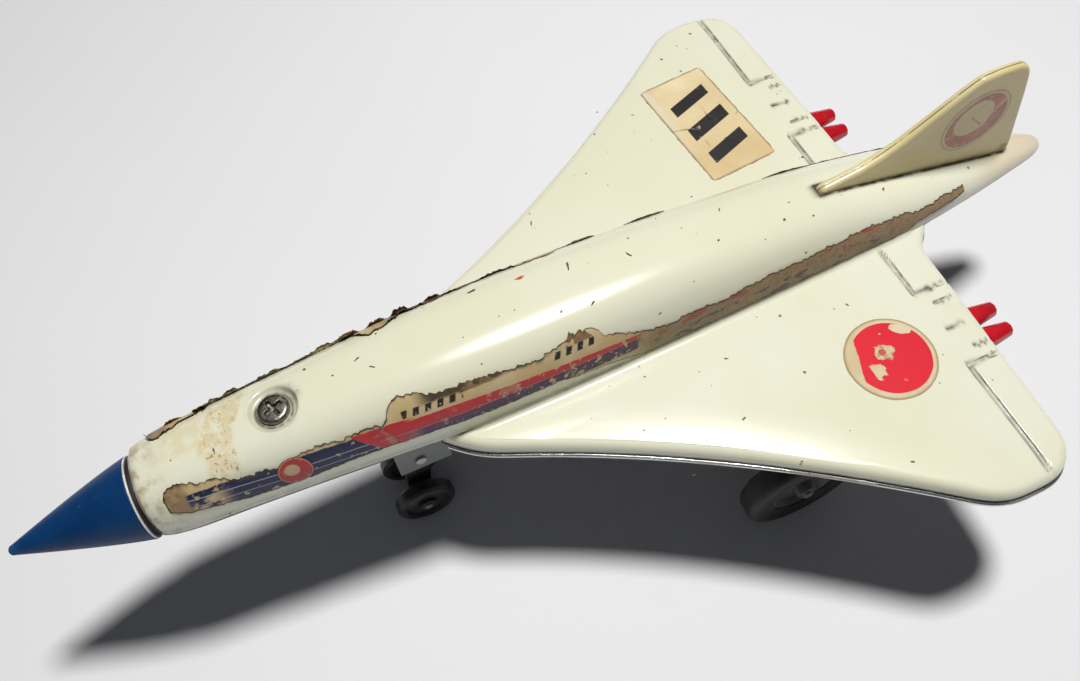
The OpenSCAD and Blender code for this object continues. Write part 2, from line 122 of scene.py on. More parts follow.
class Wire:
    # a node's output, or a number, that Python's operators join through Math nodes
    def __init__(self, finish, source):
        self.finish, self.source = finish, source

    def join(self, operation, *others):
        return self.finish.node("Math", {"operation": operation}, self, *others)

    def __add__(self, b): return self.join("ADD", b)
    def __radd__(self, b): return self.join("ADD", b)
    def __mul__(self, b): return self.join("MULTIPLY", b)
    def __rmul__(self, b): return self.join("MULTIPLY", b)
    def __sub__(self, b): return self.join("SUBTRACT", b)
    def __rsub__(self, b): return Wire(self.finish, b).join("SUBTRACT", self)
    def __truediv__(self, b): return self.join("DIVIDE", b)
    def __lt__(self, b): return self.join("LESS_THAN", b)
    def __pow__(self, b): return self.join("POWER", b)
    def __abs__(self): return self.join("ABSOLUTE")
    def least(self, b): return self.join("MINIMUM", b)
    def most(self, b): return self.join("MAXIMUM", b)

    def rise(self, start, end):
        # smooth step: 0 before start, 1 after end
        return self.finish.node("MapRange", {"interpolation_type": "SMOOTHSTEP", "clamp": True}, self,
                                start, end, 0.0, 1.0)

    def inside(self, low, high, soft):
        # 1 between low and high, with edges as wide as soft
        return self.rise(low - soft, low + soft) * (1 - self.rise(high - soft, high + soft))


class Finish:
    # one material; node() takes a type, its settings and the values or wires of its sockets in order
    def __init__(self, name, colour, roughness, metallic=0.0, coat=0.0, **constants):
        self.material = bpy.data.materials.new(name)
        self.material.use_nodes = True
        self.tree = self.material.node_tree
        self.shader = self.tree.nodes["Principled BSDF"]
        self.set("Base Color", colour)
        self.set("Roughness", roughness)
        self.set("Metallic", metallic)
        self.set("Coat Weight", coat)
        for socket, value in constants.items():
            self.set(socket.replace("_", " "), value)
        self.place = self.node("TexCoord", {"output": "Object"})
        self.sheet = self.node("TexCoord", {"output": "UV"})

    def feed(self, socket, value):
        if isinstance(value, Wire):
            if isinstance(value.source, bpy.types.NodeSocket):
                self.tree.links.new(value.source, socket)
                return
            value = value.source
        if isinstance(value, (tuple, list)) and len(value) == 3 and socket.type == "RGBA":
            value = (*value, 1.0)
        socket.default_value = value

    def set(self, socket, value):
        self.feed(self.shader.inputs[socket], value)

    def node(self, kind, settings=None, *values, **named):
        n = self.tree.nodes.new("ShaderNode" + kind)
        settings = dict(settings or {})
        output = settings.pop("output", 0)
        for key, value in settings.items():
            setattr(n, key, value)
        for socket, value in zip(n.inputs, values):
            if value is not None:
                self.feed(socket, value)
        for key, value in named.items():
            self.feed(n.inputs[key.replace("_", " ")], value)
        return Wire(self, n.outputs[output])

    def blend(self, factor, a, b):
        # colour a where factor is 0 and b where it is 1
        n = self.tree.nodes.new("ShaderNodeMix")
        n.data_type = "RGBA"
        for socket, value in ((n.inputs[0], factor), (n.inputs[6], a), (n.inputs[7], b)):
            self.feed(socket, value)
        return Wire(self, n.outputs[2])

    def noise(self, scale, detail=3.0, rough=0.55, stretch=None, turn=(0, 0, 0)):
        # cloudy noise round 0.5; stretch scales the pattern's axes
        where = self.place
        if stretch:
            where = self.node("Mapping", {}, where, (0, 0, 0), turn, stretch)
        return self.node("TexNoise", {"output": "Fac"}, Vector=where, Scale=scale, Detail=detail,
                         Roughness=rough)

    def specks(self, scale, size, keep=0.5):
        # round dots of a cell pattern, of which a share called keep is left
        distance = self.node("TexVoronoi", {"output": "Distance"}, Vector=self.place, Scale=scale)
        cell = self.node("TexVoronoi", {"output": "Color"}, Vector=self.place, Scale=scale)
        lot = self.node("SeparateColor", {}, cell)
        return (1 - distance.rise(size * 0.6, size)) * (lot < keep)

    def axes(self, where=None):
        n = self.tree.nodes.new("ShaderNodeSeparateXYZ")
        self.feed(n.inputs[0], where or self.place)
        return [Wire(self, o) for o in n.outputs]

    def flat(self, unit=100.0):
        # the piece's own flat coordinates in mm, kept in its UV map divided by unit
        u, v, _ = self.axes(self.sheet)
        return u * unit, v * unit

    def mask(self, name):
        # a value stored on the mesh's points
        return self.node("Attribute", {"attribute_name": name, "output": "Fac"})

    def bump(self, height, strength, distance):
        n = self.tree.nodes.new("ShaderNodeBump")
        self.feed(n.inputs["Height"], height)
        n.inputs["Strength"].default_value = strength
        n.inputs["Distance"].default_value = distance
        self.set("Normal", Wire(self, n.outputs[0]))


# mesh helpers
def makePiece(name, points, faces, body, finish, uv=None, replaces=(), merge=True, masks=None,
              wall=0.0, sharp=40.0, outward=True):
    # points in mm with heights over the wing's upper face; faces are rows of point numbers
    mesh = bpy.data.meshes.new(name)
    placed = (np.asarray(points, float) + (0, 0, wingTop)) * milli
    mesh.from_pydata(placed.tolist(), [], [list(f) for f in faces])
    if uv is not None:
        layer = mesh.uv_layers.new(name="UVMap")
        order = np.zeros(len(mesh.loops), int)
        mesh.loops.foreach_get("vertex_index", order)
        layer.data.foreach_set("uv", np.asarray(uv, float)[order].ravel())
    for key, values in (masks or {}).items():
        mesh.attributes.new(key, "FLOAT", "POINT").data.foreach_set("value", np.asarray(values, np.float32))
    b = bmesh.new()
    b.from_mesh(mesh)
    if merge:
        bmesh.ops.remove_doubles(b, verts=b.verts, dist=2e-6)
    bmesh.ops.dissolve_degenerate(b, edges=b.edges, dist=1e-7)
    if outward:
        bmesh.ops.recalc_face_normals(b, faces=b.faces)
    b.to_mesh(mesh)
    b.free()
    mesh.polygons.foreach_set("use_smooth", np.ones(len(mesh.polygons), bool))
    mesh.set_sharp_from_angle(angle=math.radians(sharp))
    piece = bpy.data.objects.new(name, mesh)
    scene.collection.objects.link(piece)
    if wall:
        solid = piece.modifiers.new("wall", "SOLIDIFY")
        solid.thickness, solid.offset = wall * milli, -1.0
    mesh.materials.append(finish.material)
    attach(piece, body)
    if replaces:
        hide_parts(*replaces)
    return piece


def gridFaces(rows, columns, wrap=False, first=0):
    # quads of a grid of points stored row by row; wrap joins the last column to the first
    r = np.arange(rows - 1)[:, None]
    c = np.arange(columns if wrap else columns - 1)[None, :]
    d = (c + 1) % columns
    quads = np.stack([r * columns + c, r * columns + d, (r + 1) * columns + d, (r + 1) * columns + c], -1)
    return quads.reshape(-1, 4) + first


def flatten(grid):
    return grid.reshape(-1, grid.shape[-1])


def revolve(profile, segments=64):
    # profile of (radius, along) turned once about the along axis; gives rows x segments x (a, b, along)
    profile = np.asarray(profile, float)
    t = np.linspace(0, 2 * np.pi, segments, endpoint=False)
    r, h = profile[:, :1], profile[:, 1:2]
    return np.stack([r * np.cos(t), r * np.sin(t), h + 0 * t], -1)


def turned(name, profile, finish, node, segments=112):
    # closed solid of revolution about the nose's axis; the profile's along value runs forwards
    ring = revolve(profile, segments)
    points = np.stack([ring[..., 0], nose["base"] - ring[..., 2], nose["axisHeight"] + ring[..., 1]], -1)
    makePiece(name, flatten(points), gridFaces(len(profile), segments, wrap=True), "airframe", finish,
              replaces=(node,), sharp=32.0)


def roundCorner(a, corner, b, radius, steps=5):
    # points of a smooth bend from the side of a to the side of b, near the corner
    a, corner, b = (np.asarray(p, float) for p in (a, corner, b))
    start = corner + (a - corner) / np.linalg.norm(a - corner) * radius
    end = corner + (b - corner) / np.linalg.norm(b - corner) * radius
    t = np.linspace(0, 1, steps)[:, None]
    return (1 - t) ** 2 * start + 2 * t * (1 - t) * corner + t ** 2 * end


def softProfile(points, radii, steps=5):
    # an open profile whose inner corners are rounded by the given radii
    path = [np.asarray(points[:1], float)]
    for i, radius in enumerate(radii, 1):
        path.append(roundCorner(points[i - 1], points[i], points[i + 1], radius, steps)
                    if radius else np.asarray([points[i]], float))
    return np.concatenate(path + [np.asarray(points[-1:], float)])


def evenPath(points, spacing):
    # a polyline walked at even steps
    points = np.asarray(points, float)
    run = np.concatenate([[0], np.cumsum(np.linalg.norm(np.diff(points, axis=0), axis=1))])
    at = np.linspace(0, run[-1], max(2, int(round(run[-1] / spacing)) + 1))
    return np.stack([np.interp(at, run, points[:, k]) for k in range(points.shape[1])], -1)


def smoothPath(points, passes):
    # each inner point moves to the mean of itself and its neighbours
    points = points.copy()
    for _ in range(passes):
        points[1:-1] = (points[:-2] + 2 * points[1:-1] + points[2:]) / 4
    return points


def pointsAt(path, place):
    # points of a path at whole or broken point numbers
    return np.stack([np.interp(place, np.arange(len(path)), path[:, k]) for k in (0, 1)], -1)


def gridBorder(rows, columns):
    # point numbers once round a grid's edge
    return np.concatenate([np.arange(columns), np.arange(2, rows + 1) * columns - 1,
                           (rows - 1) * columns + np.arange(columns - 2, -1, -1),
                           np.arange(rows - 2, 0, -1) * columns])


def arcPath(centre, radius, start, end, steps=24):
    a = np.radians(np.linspace(start, end, steps))
    return np.stack([centre[0] + radius * np.cos(a), centre[1] + radius * np.sin(a)], -1)


def ripple(seed, where, sizes, amounts):
    # sum of sine waves with random phases: a repeatable uneven edge
    rng = np.random.default_rng(seed)
    total = np.zeros(np.shape(where))
    for size, amount in zip(sizes, amounts):
        for k in range(3):
            pace = 2 * np.pi / size * (0.7 + 0.35 * k)
            total = total + amount / 2 * np.sin(where * pace + rng.uniform(0, 6.28))
    return total


# fuselage shape

# stations along the fuselage, heights over the wing: y, half width, top, lip
hullStations = np.array([
    [-116.9, 11.0, 14.0, 0.5], [-114, 12.0, 14.8, 0.5], [-107, 13.0, 16.0, 0.5], [-95, 13.6, 17.1, 0.5],
    [-80, 14.5, 18.3, 0.5], [-60, 15.9, 19.5, 0.5], [-40, 17.2, 20.6, 0.5], [-13, 17.5, 20.8, 0.5],
    [20, 16.7, 20.3, 0.5], [48, 15.7, 18.5, 0.5], [72, 14.7, 16.2, 0.5], [100, 13.2, 9.8, -0.4],
    [120, 10.0, 4.8, -2], [137.5, 6.3, 0.6, -3.6], [147, 4.0, -1.4, -4.4], [151.5, 1.8, -2.8, -4.8]])
hull = {"front": -116.9, "rear": 151.4, "fullness": 2.7, "frontRound": 1.1, "rearRound": 1.5, "wall": 0.8,
        "screwY": -80.0, "dimpleFloor": 16.6, "dimpleRadius": 5.2, "dimpleEdge": 1.3,
        "wingFront": -46, "wingRear": 104, "finHalf": 2.0, "finFront": 70.4, "finRear": 136.5}


def alongHull(y, column):
    # cubic through the stations, with each station's slope taken from its two neighbours
    s, v = hullStations[:, 0], hullStations[:, column]
    last = len(s) - 1
    i = np.clip(np.searchsorted(s, y, side="right") - 1, 0, last - 1)
    before, after = np.maximum(np.arange(last + 1) - 1, 0), np.minimum(np.arange(last + 1) + 1, last)
    slope = (v[after] - v[before]) / (s[after] - s[before])
    h = s[i + 1] - s[i]
    t = (y - s[i]) / h
    return ((2 * t**3 - 3 * t**2 + 1) * v[i] + (t**3 - 2 * t**2 + t) * h * slope[i]
            + (3 * t**2 - 2 * t**3) * v[i + 1] + (t**3 - t**2) * h * slope[i + 1])


def hullSection(y, angle, grow=0.0, share=1.0):
    # section at y as a polar superellipse over the lip, made larger by grow mm and scaled by share
    n = hull["fullness"]
    c, s = np.cos(angle), np.sin(angle)
    reach = (np.abs(c) ** n + np.abs(s) ** n) ** (-1 / n)
    lip = alongHull(y, 3)
    width = (alongHull(y, 1) + grow) * share
    height = (alongHull(y, 2) - lip + grow) * share
    return np.stack([width * reach * c, y + 0 * c, lip + height * reach * s + 0 * width], -1)


def hullAt(y, height, lift=0.0, side=1):
    # point of the skin at y, at a distance height measured over the skin from the lip, moved out by lift
    if np.ptp(y, axis=1).max() > 1e-9:
        column = lambda v: np.broadcast_to(v, y.shape).reshape(-1, 1)
        return hullAt(column(y), column(height), column(lift), side).reshape(y.shape + (3,))
    a = np.linspace(0, np.pi, 241)
    line = hullSection(y[:, :1], a[None, :])[..., [0, 2]]
    slope = np.gradient(line, axis=1)
    slope /= np.linalg.norm(slope, axis=2, keepdims=True)
    run = np.concatenate([np.zeros((len(y), 1)),
                          np.cumsum(np.linalg.norm(np.diff(line, axis=1), axis=2), axis=1)], 1)
    table = np.concatenate([line, slope], 2)
    found = np.empty(y.shape + (4,))
    for row in range(len(y)):
        for k in range(4):
            found[row, :, k] = np.interp(height[row], run[row], table[row, :, k])
    x = found[..., 0] + lift * found[..., 3]
    z = found[..., 1] - lift * found[..., 2]
    return np.stack([side * x, y, z], -1)


def dimple(points):
    # the skin is pressed down to a flat floor round the screw, with a soft rim
    far = np.hypot(points[..., 0], points[..., 1] - hull["screwY"])
    share = np.clip((far - hull["dimpleRadius"]) / hull["dimpleEdge"], 0, 1)
    share = share * share * (3 - 2 * share)
    floor = np.minimum(points[..., 2], hull["dimpleFloor"])
    high = points[..., 2] > 8
    points[..., 2] = np.where(high, floor + (points[..., 2] - floor) * share, points[..., 2])
    return points


print("shapes ready")

# enamelled shell
enamel = {"cream": (0.735, 0.725, 0.55), "pale": (0.76, 0.76, 0.625), "yellowed": (0.69, 0.62, 0.39),
          "grimeAndShade": (0.055, 0.038, 0.022), "rust": (0.10, 0.045, 0.02), "roughness": 0.17}


# pieces of tape in metres: low, high and softness over x and over y, and the slant of y with x
tapes = [((-0.0105, 0.0015, 0.0012), (-0.1075, -0.0975, 0.0012), 0.0),
         ((-0.0085, 0.0045, 0.0006), (-0.0985, -0.0895, 0.0006), 0.5),
         ((0.0045, 0.0105, 0.0007), (-0.0985, -0.0915, 0.0007), 0.0)]


def enamelFinish():
    f = Finish("agedShadedEnamel", enamel["cream"], enamel["roughness"], coat=0.35, Coat_Roughness=0.08,
               Specular_IOR_Level=0.5)
    x, y, _ = f.axes()
    cloud = f.noise(14, 4)
    fine = f.noise(160, 3)
    colour = f.blend(cloud.rise(0.35, 0.7), enamel["cream"], enamel["pale"])
    colour = f.blend(f.noise(34, 5, 0.62).rise(0.55, 0.8) * 0.30, colour, enamel["yellowed"])
    # yellowed tape and glue on the top of the nose: an old wide patch, a slanted strip and a small square
    old, strip, square = (x.inside(*across) * (y + x * slant).inside(*along) for across, along, slant in tapes)
    torn = f.noise(420, 5, 0.6)
    tape = (old * 0.55 + strip * 0.9 + square * 0.8) * torn.rise(0.36, 0.56)
    colour = f.blend((tape * 0.62).least(1.0), colour, (0.62, 0.46, 0.20))
    gluey = f.noise(700, 6, 0.7, stretch=(1, 1.6, 1)).rise(0.55, 0.62) * square.most(strip * 0.45)
    colour = f.blend(gluey * 0.9, colour, (0.30, 0.19, 0.07))
    nose = 1 - y.rise(-0.1165, -0.1060)
    colour = f.blend(nose * f.noise(260, 5, 0.65).rise(0.42, 0.62) * 0.75, colour, (0.42, 0.30, 0.13))
    # pinkish tail end
    colour = f.blend(y.rise(0.112, 0.146) * 0.6, colour, (0.68, 0.54, 0.40))
    # scratches, chips, dirt and painted shade
    scratch = f.noise(60, 2, 0.4, stretch=(1, 26, 1), turn=(0, 0, 0.5)).inside(0.4995, 0.5005, 0.0008)
    colour = f.blend(scratch * f.noise(22, 2).rise(0.52, 0.6) * 0.22, colour, enamel["grimeAndShade"])
    speck = f.specks(230, 0.13, keep=0.03).most(f.specks(620, 0.17, keep=0.03))
    colour = f.blend(speck * 0.85, colour, enamel["rust"])
    # the mask darkens the enamel with dirt and with painted shade: painted shade in the gap along the lip, in
    # the crease at the wing root and at the foot of the wing's edge wall; dirt and painted shade round the
    # screw, the fin's foot and the pressed lines
    grimeAndShade = f.mask("grimeAndShade")
    broken = grimeAndShade * (0.35 + f.noise(210, 4, 0.6).rise(0.32, 0.56) * 0.65)
    colour = f.blend((broken * 1.1).least(1.0), colour, enamel["grimeAndShade"])
    halo = f.mask("halo")
    colour = f.blend(halo * f.noise(240, 4).rise(0.25, 0.75) * 0.8, colour, (0.20, 0.17, 0.12))
    f.set("Base Color", colour)
    f.set("Roughness", (enamel["roughness"] + cloud * 0.08 + broken * 0.45 + tape * 0.25 + nose * 0.15
                        + speck * 0.4).least(0.9))
    f.set("Coat Weight", (0.35 - broken * 0.35 - tape * 0.25).most(0.0))
    f.bump(fine * 0.25 + cloud * 2.0 + tape * 0.6 + gluey * 1.2 - speck * 1.0, 0.25, 0.00012)
    return f


enamelled = enamelFinish()


def buildHull():
    # outer skin: rows along y, columns over the section; the front edge is rolled in, the rear closes
    turn = np.radians(np.linspace(90, 0, 6))
    rolled = [(hull["front"] + 0.5, -hull["frontRound"] - 1.0, 1.0)]
    rolled += [(hull["front"] + hull["frontRound"] * (1 - math.cos(math.pi / 2 - a)),
                -hull["frontRound"] * math.sin(a), 1.0) for a in turn]
    first, last = hull["front"] + hull["frontRound"], hull["rear"] - hull["rearRound"]
    near = np.arange(hull["screwY"] - 8, hull["screwY"] + 8, 0.4)
    body = np.concatenate([np.arange(first + 1.5, near[0], 1.5), near,
                           np.arange(near[-1] + 1.2, last - 0.6, 1.5), [last]])
    rows = rolled + [(y, 0.0, 1.0) for y in body]
    closing = np.radians(np.linspace(12, 90, 8))
    rows += [(last + hull["rearRound"] * math.sin(a), 0.0, math.cos(a)) for a in closing]
    rows = np.asarray(rows)
    angle = np.linspace(0, np.pi, 129)
    skin = hullSection(rows[:, :1], angle[None, :], rows[:, 1:2], rows[:, 2:3])
    skin = dimple(skin)
    y = rows[:, 0]
    drop = (0.04 + 0.9 * np.clip((y - hull["wingFront"]) / 3, 0, 1)
            * np.clip((hull["wingRear"] - y) / 3, 0, 1))
    drop = drop * rows[:, 2]
    feet = skin[:, [0, -1]]
    feet[..., 2] -= drop[:, None]
    skin = np.concatenate([feet[:, :1], skin, feet[:, 1:]], 1)
    p = flatten(skin)
    screwFar = np.hypot(p[:, 0], p[:, 1] - hull["screwY"])
    up = p[:, 2] > 8
    # dirt and painted shade: a dark ring in the gap round the screw head
    grimeAndShade = np.exp(-((screwFar - 4.5) / 0.6) ** 2) * 0.9 * up
    halo = np.clip(1 - (np.hypot(p[:, 0] + 1.6, p[:, 1] - hull["screwY"] - 4.5) / 4.0) ** 2, 0, 1) * up
    halo = np.maximum(halo, 0.35 * np.exp(-((screwFar - 5.6) / 1.2) ** 2) * up)
    finFar = (np.maximum(np.abs(p[:, 0]) - hull["finHalf"], 0) + np.maximum(hull["finFront"] - p[:, 1], 0)
              + np.maximum(p[:, 1] - hull["finRear"], 0))
    # dirt and painted shade: a dark line round the fin's foot
    grimeAndShade = np.maximum(grimeAndShade, np.exp(-(finFar / 0.55) ** 2) * (p[:, 2] > -3.2))
    # painted shade: a dark line along the lip, where the gap under it lies in shade
    grimeAndShade = np.maximum(grimeAndShade, 0.8 * np.exp(-((p[:, 2] - alongHull(p[:, 1], 3)) / 0.25) ** 2))
    # painted shade: a faint band about 2 mm over the wing's plane, in the crease where the wing's bend meets
    # the side
    low = np.clip((118 - p[:, 1]) / 3, 0, 1) * 0.35 * np.exp(-((p[:, 2] - 2.0) / 1.2) ** 2)
    grimeAndShade = np.maximum(grimeAndShade, low)
    makePiece("hullSkin", p, gridFaces(*skin.shape[:2]), "airframe", enamelled,
              masks={"grimeAndShade": grimeAndShade, "halo": halo}, wall=hull["wall"], replaces=("upper_shell",), sharp=50)


buildHull()
print("hull")

# wings
wing = {"roll": 2.2, "camber": 0.55, "camberWidth": 12.0, "fillet": 1.9, "lip": -4.6, "wall": 0.7,
        "soft": 0.16, "tilt": 5.0}
channels = [  # pressed lines of the elevons: x, y to x, y, width, depth
    (15.2, 85.2, 31.4, 85.2, 1.25, 0.42), (31.4, 85.2, 31.4, 98.5, 0.9, 0.36),
    (55.3, 85.2, 87.2, 85.2, 1.25, 0.42), (55.3, 85.2, 55.3, 97.0, 1.0, 0.36),
    (35.9, 88.6, 35.9, 93.6, 0.8, 0.34), (43.8, 86.6, 43.8, 91.8, 0.8, 0.34),
    (51.2, 90.2, 51.2, 94.4, 0.7, 0.3)]


def leadingEdge(y):
    return 24.6 + 0.43 * (y + 33) + 0.0018 * (y + 33) ** 2


def wingOutline():
    # port outline from the front of the root round the tip to the rear of the root, walked at even steps
    y = np.linspace(-33, 67, 60)
    path = np.concatenate([
        [[15, -45.5], [19, -41.5], [22.2, -37.4]], np.stack([leadingEdge(y), y], -1),
        arcPath((71.5, 78.2), 18, -28, 0), arcPath((78.5, 84.2), 11, 2, 86), [[60, 95.9], [36, 96.8]],
        arcPath((22, 105), 8, -90, -150), [[11, 104]]])
    path = smoothPath(evenPath(path, 0.5), 24)
    return evenPath(path, 0.25)


def outwardNormals(path):
    d = np.gradient(path, axis=0)
    return np.stack([d[:, 1], -d[:, 0]], -1) / np.linalg.norm(d, axis=1, keepdims=True)


outline = wingOutline()
outward = outwardNormals(outline)
inset = outline - outward * wing["roll"]


def segmentFar(x, y, x0, y0, x1, y1):
    # distance from points to a line piece
    dx, dy = x1 - x0, y1 - y0
    t = np.clip(((x - x0) * dx + (y - y0) * dy) / max(dx * dx + dy * dy, 1e-9), 0, 1)
    return np.hypot(x - x0 - t * dx, y - y0 - t * dy)


def pressed(x, y):
    # depth of the pressed lines, and their darkening along their sides and in their floors: dirt together with
    # painted shade
    depth, grimeAndShade = np.zeros_like(x), np.zeros_like(x)
    for x0, y0, x1, y1, width, deep in channels:
        far = segmentFar(x, y, x0, y0, x1, y1)
        share = np.clip((far - width / 2 + wing["soft"]) / (2 * wing["soft"]), 0, 1)
        depth = np.minimum(depth, -deep * (1 - share * share * (3 - 2 * share)))
        edge = np.exp(-((far - width / 2) / 0.2) ** 2)
        grimeAndShade = np.maximum(grimeAndShade, edge * 0.95)
        grimeAndShade = np.maximum(grimeAndShade, 0.45 * (far < width / 2))
    return depth, grimeAndShade


def rootX(y):
    # where the wing's upper face meets the fuselage's side
    return alongHull(y, 1) - 0.12


def filletAt(y, y0, y1):
    # radius of the bend between wing and fuselage, running out to nothing at both ends
    t = np.clip(np.minimum((y - y0) / 7, (y1 - y) / 5), 0, 1)
    return wing["fillet"] * t * t * (3 - 2 * t)


def spacing(low, high, coarse, fine, spots):
    # positions with steps that are fine near the spots, given as (place, reach)
    at, x = [low], low
    while x < high:
        close = any(abs(x - place) < reach for place, reach in spots)
        x += fine if close else coarse
        at.append(min(x, high))
    if len(at) > 2 and at[-1] - at[-2] < fine * 0.5:
        at.pop(-2)
    return np.asarray(at)


def buildWing(side, name):
    free = inset[:, 0] > rootX(inset[:, 1])
    a = int(np.argmax(free)) - 1
    d = len(free) - int(np.argmax(free[::-1]))
    # the corner of the grid is where the tip's edge looks halfway between sideways and rearwards
    c = int(np.argmin(np.abs(np.degrees(np.arctan2(outward[:, 1], outward[:, 0])) - 45)))
    yA, yC, yD = inset[a, 1], inset[c, 1], inset[d, 1]
    v = (spacing(yA, yD, 1.4, 0.28, [(92, 11)]) - yA) / (yD - yA)
    alongFront = inset[a:c + 1]
    left = np.interp(yA + v * (yC - yA), np.maximum.accumulate(alongFront[:, 1]), np.arange(a, c + 1))
    sides = [(31.8, 2.2), (56.2, 2.6), (36.2, 0.9), (44.3, 0.9), (52, 1.0)]
    x = spacing(inset[d, 0], inset[c, 0], 1.1, 0.27, sides)
    rearOrder = np.arange(c, d + 1)[::-1]
    rear = np.interp(x, inset[rearOrder, 0], rearOrder)
    u = (x - x[0]) / (x[-1] - x[0])
    frontLine, rearLine = pointsAt(inset, left), pointsAt(inset, rear)
    yR = yA + v * (yD - yA)
    bend = filletAt(yR, yA, yD)
    rootLine = np.stack([rootX(yR) + bend, yR], -1)
    rootLine[0], rootLine[-1] = frontLine[0], rearLine[0]
    uGrid, vGrid = u[None, :, None], v[:, None, None]
    plane = (1 - uGrid) * rootLine[:, None] + uGrid * frontLine[:, None] + vGrid * (
        rearLine[None] - (1 - uGrid) * rearLine[0] - uGrid * rearLine[-1])
    px, py = plane[..., 0], plane[..., 1]
    depth, grimeAndShade = pressed(px, py)
    near = inset[::6]
    far = np.full(px.shape, 1e9)
    for q in near:
        far = np.minimum(far, np.hypot(px - q[0], py - q[1]))
    # edge points lie on the outline itself
    far[:, -1] = 0
    far[-1, :] = 0
    camber = -wing["camber"] * np.clip(1 - far / wing["camberWidth"], 0, 1) ** 2
    rootFade = np.clip((px - rootLine[:, :1]) / 8, 0, 1)
    camber = camber * rootFade
    camber[-1, :] = -wing["camber"] * np.clip((x - x[0]) / 8, 0, 1)
    camber[:, -1] = -wing["camber"] * np.clip((frontLine[:, 0] - rootLine[:, 0]) / 8, 0, 1)
    top = np.stack([px, py, camber + depth], -1)
    # bend up the fuselage's side
    turn = np.radians(np.linspace(0, 90, 7))[:-1]
    rise = np.stack([rootLine[:, :1] - bend[:, None] * np.cos(turn), yR[:, None] + 0 * turn,
                     bend[:, None] * (1 - np.sin(turn))], -1)
    rise[0] = top[0, :1]
    rise[-1] = top[-1, :1]
    sheet = np.concatenate([rise, top], 1)
    # painted shade: darker at the top of the bend where the wing meets the fuselage; the pressed lines add
    # their dirt and painted shade
    sheetGrimeAndShade = np.concatenate([np.tile(0.30 * np.cos(turn) ** 2, (len(v), 1)), grimeAndShade], 1)
    # rolled edge and wall along the whole outline; its inner points are the sheet's own edge points
    ahead, behind = np.arange(0, a, 4), np.arange(d + 4, len(inset), 4)
    place = np.concatenate([ahead, left, rear[::-1][1:], behind])
    height = np.concatenate([np.full(len(ahead), top[0, -1, 2]), top[:, -1, 2], top[-1, ::-1, 2][1:],
                             np.full(len(behind), top[-1, 0, 2])])
    base, n = pointsAt(inset, place), pointsAt(outward, place)
    n = n / np.linalg.norm(n, axis=1, keepdims=True)
    r, tilt = wing["roll"], math.radians(wing["tilt"])
    bendAngles = np.linspace(tilt, math.pi / 2, 9)
    out = np.concatenate([r * (np.sin(bendAngles) - math.sin(tilt)), [r * 0.92, r * 0.92]])
    down = np.concatenate([r * (math.cos(tilt) - np.cos(bendAngles)), [0, 0]])
    strip = np.empty((len(base), len(out), 3))
    strip[..., :2] = base[:, None] + n[:, None] * out[None, :, None]
    strip[..., 2] = height[:, None] - down[None]
    strip[:, -2, 2] = wing["lip"] + 0.5
    strip[:, -1, 2] = wing["lip"]
    strip[:, -2:, :2] = strip[:, -3:-2, :2]
    points = np.concatenate([flatten(sheet), flatten(strip)])
    faces = np.concatenate([gridFaces(*sheet.shape[:2]), gridFaces(*strip.shape[:2], first=sheetGrimeAndShade.size)])
    # painted shade: the wall darkens towards its foot, in the seam above the rolled tin bead
    stripShade = np.tile(np.r_[np.zeros(len(out) - 2), 0.35, 0.9], (len(base), 1))
    masks = np.concatenate([sheetGrimeAndShade.ravel(), stripShade.ravel()])
    points[:, 0] *= side
    return makePiece(name, points, faces, "airframe", enamelled, masks={"grimeAndShade": masks},
                     wall=wing["wall"], sharp=60)


for side, name in ((1, "portWingSkin"), (-1, "starboardWingSkin")):
    skin = buildWing(side, name)
    # both faces of a thin sheet: the outer one has to look up
    up = sum(p.normal.z * p.area for p in skin.data.polygons)
    if up < 0:
        skin.data.flip_normals()
print("wings")

rim = {"outward": 0.05, "halfWidth": 0.6, "halfHeight": 0.68, "z": -5.45}


def sweep(path, normals, profile):
    # a closed profile of (outward, height) carried along a path; the ends are capped
    ring = np.empty((len(path), len(profile), 3))
    ring[..., :2] = path[:, None] + normals[:, None] * profile[None, :, :1]
    ring[..., 2] = profile[None, :, 1]
    n = len(profile)
    faces = [list(f) for f in gridFaces(len(path), n, wrap=True)]
    faces.append(list(range(n)))
    faces.append(list(range((len(path) - 1) * n, len(path) * n))[::-1])
    return flatten(ring), faces


def rimFinish():
    f = Finish("rolledTin", (0.62, 0.63, 0.62), 0.24, metallic=1.0)
    dull = f.noise(55, 5, 0.6).rise(0.42, 0.7)
    pits = f.specks(900, 0.2, keep=0.2)
    colour = f.blend(dull * 0.7, (0.66, 0.67, 0.66), (0.30, 0.28, 0.25))
    f.set("Base Color", f.blend(pits * 0.7, colour, (0.06, 0.05, 0.04)))
    f.set("Roughness", 0.2 + dull * 0.3 + pits * 0.3)
    f.set("Metallic", 1 - dull * 0.35)
    f.bump(f.noise(400, 3), 0.2, 0.0001)
    return f


rolledTin = rimFinish()
around = np.radians(np.linspace(0, 360, 17)[:-1])
bead = np.stack([rim["outward"] + rim["halfWidth"] * np.cos(around),
                 rim["z"] + rim["halfHeight"] * np.sin(around)], -1)
for side, name, node in ((1, "portRim", "rim_left"), (-1, "starboardRim", "rim_right")):
    points, faces = sweep(outline[8:-8:3], outward[8:-8:3], bead)
    points[:, 0] *= side
    makePiece(name, points, faces, "airframe", rolledTin, replaces=(node,))
print("rims")

# nose cone and its ring
nose = {"base": -118.5, "tip": -151.45, "radius": 11.0, "tipRadius": 1.35, "axisHeight": 2.0, "curve": 1.13}


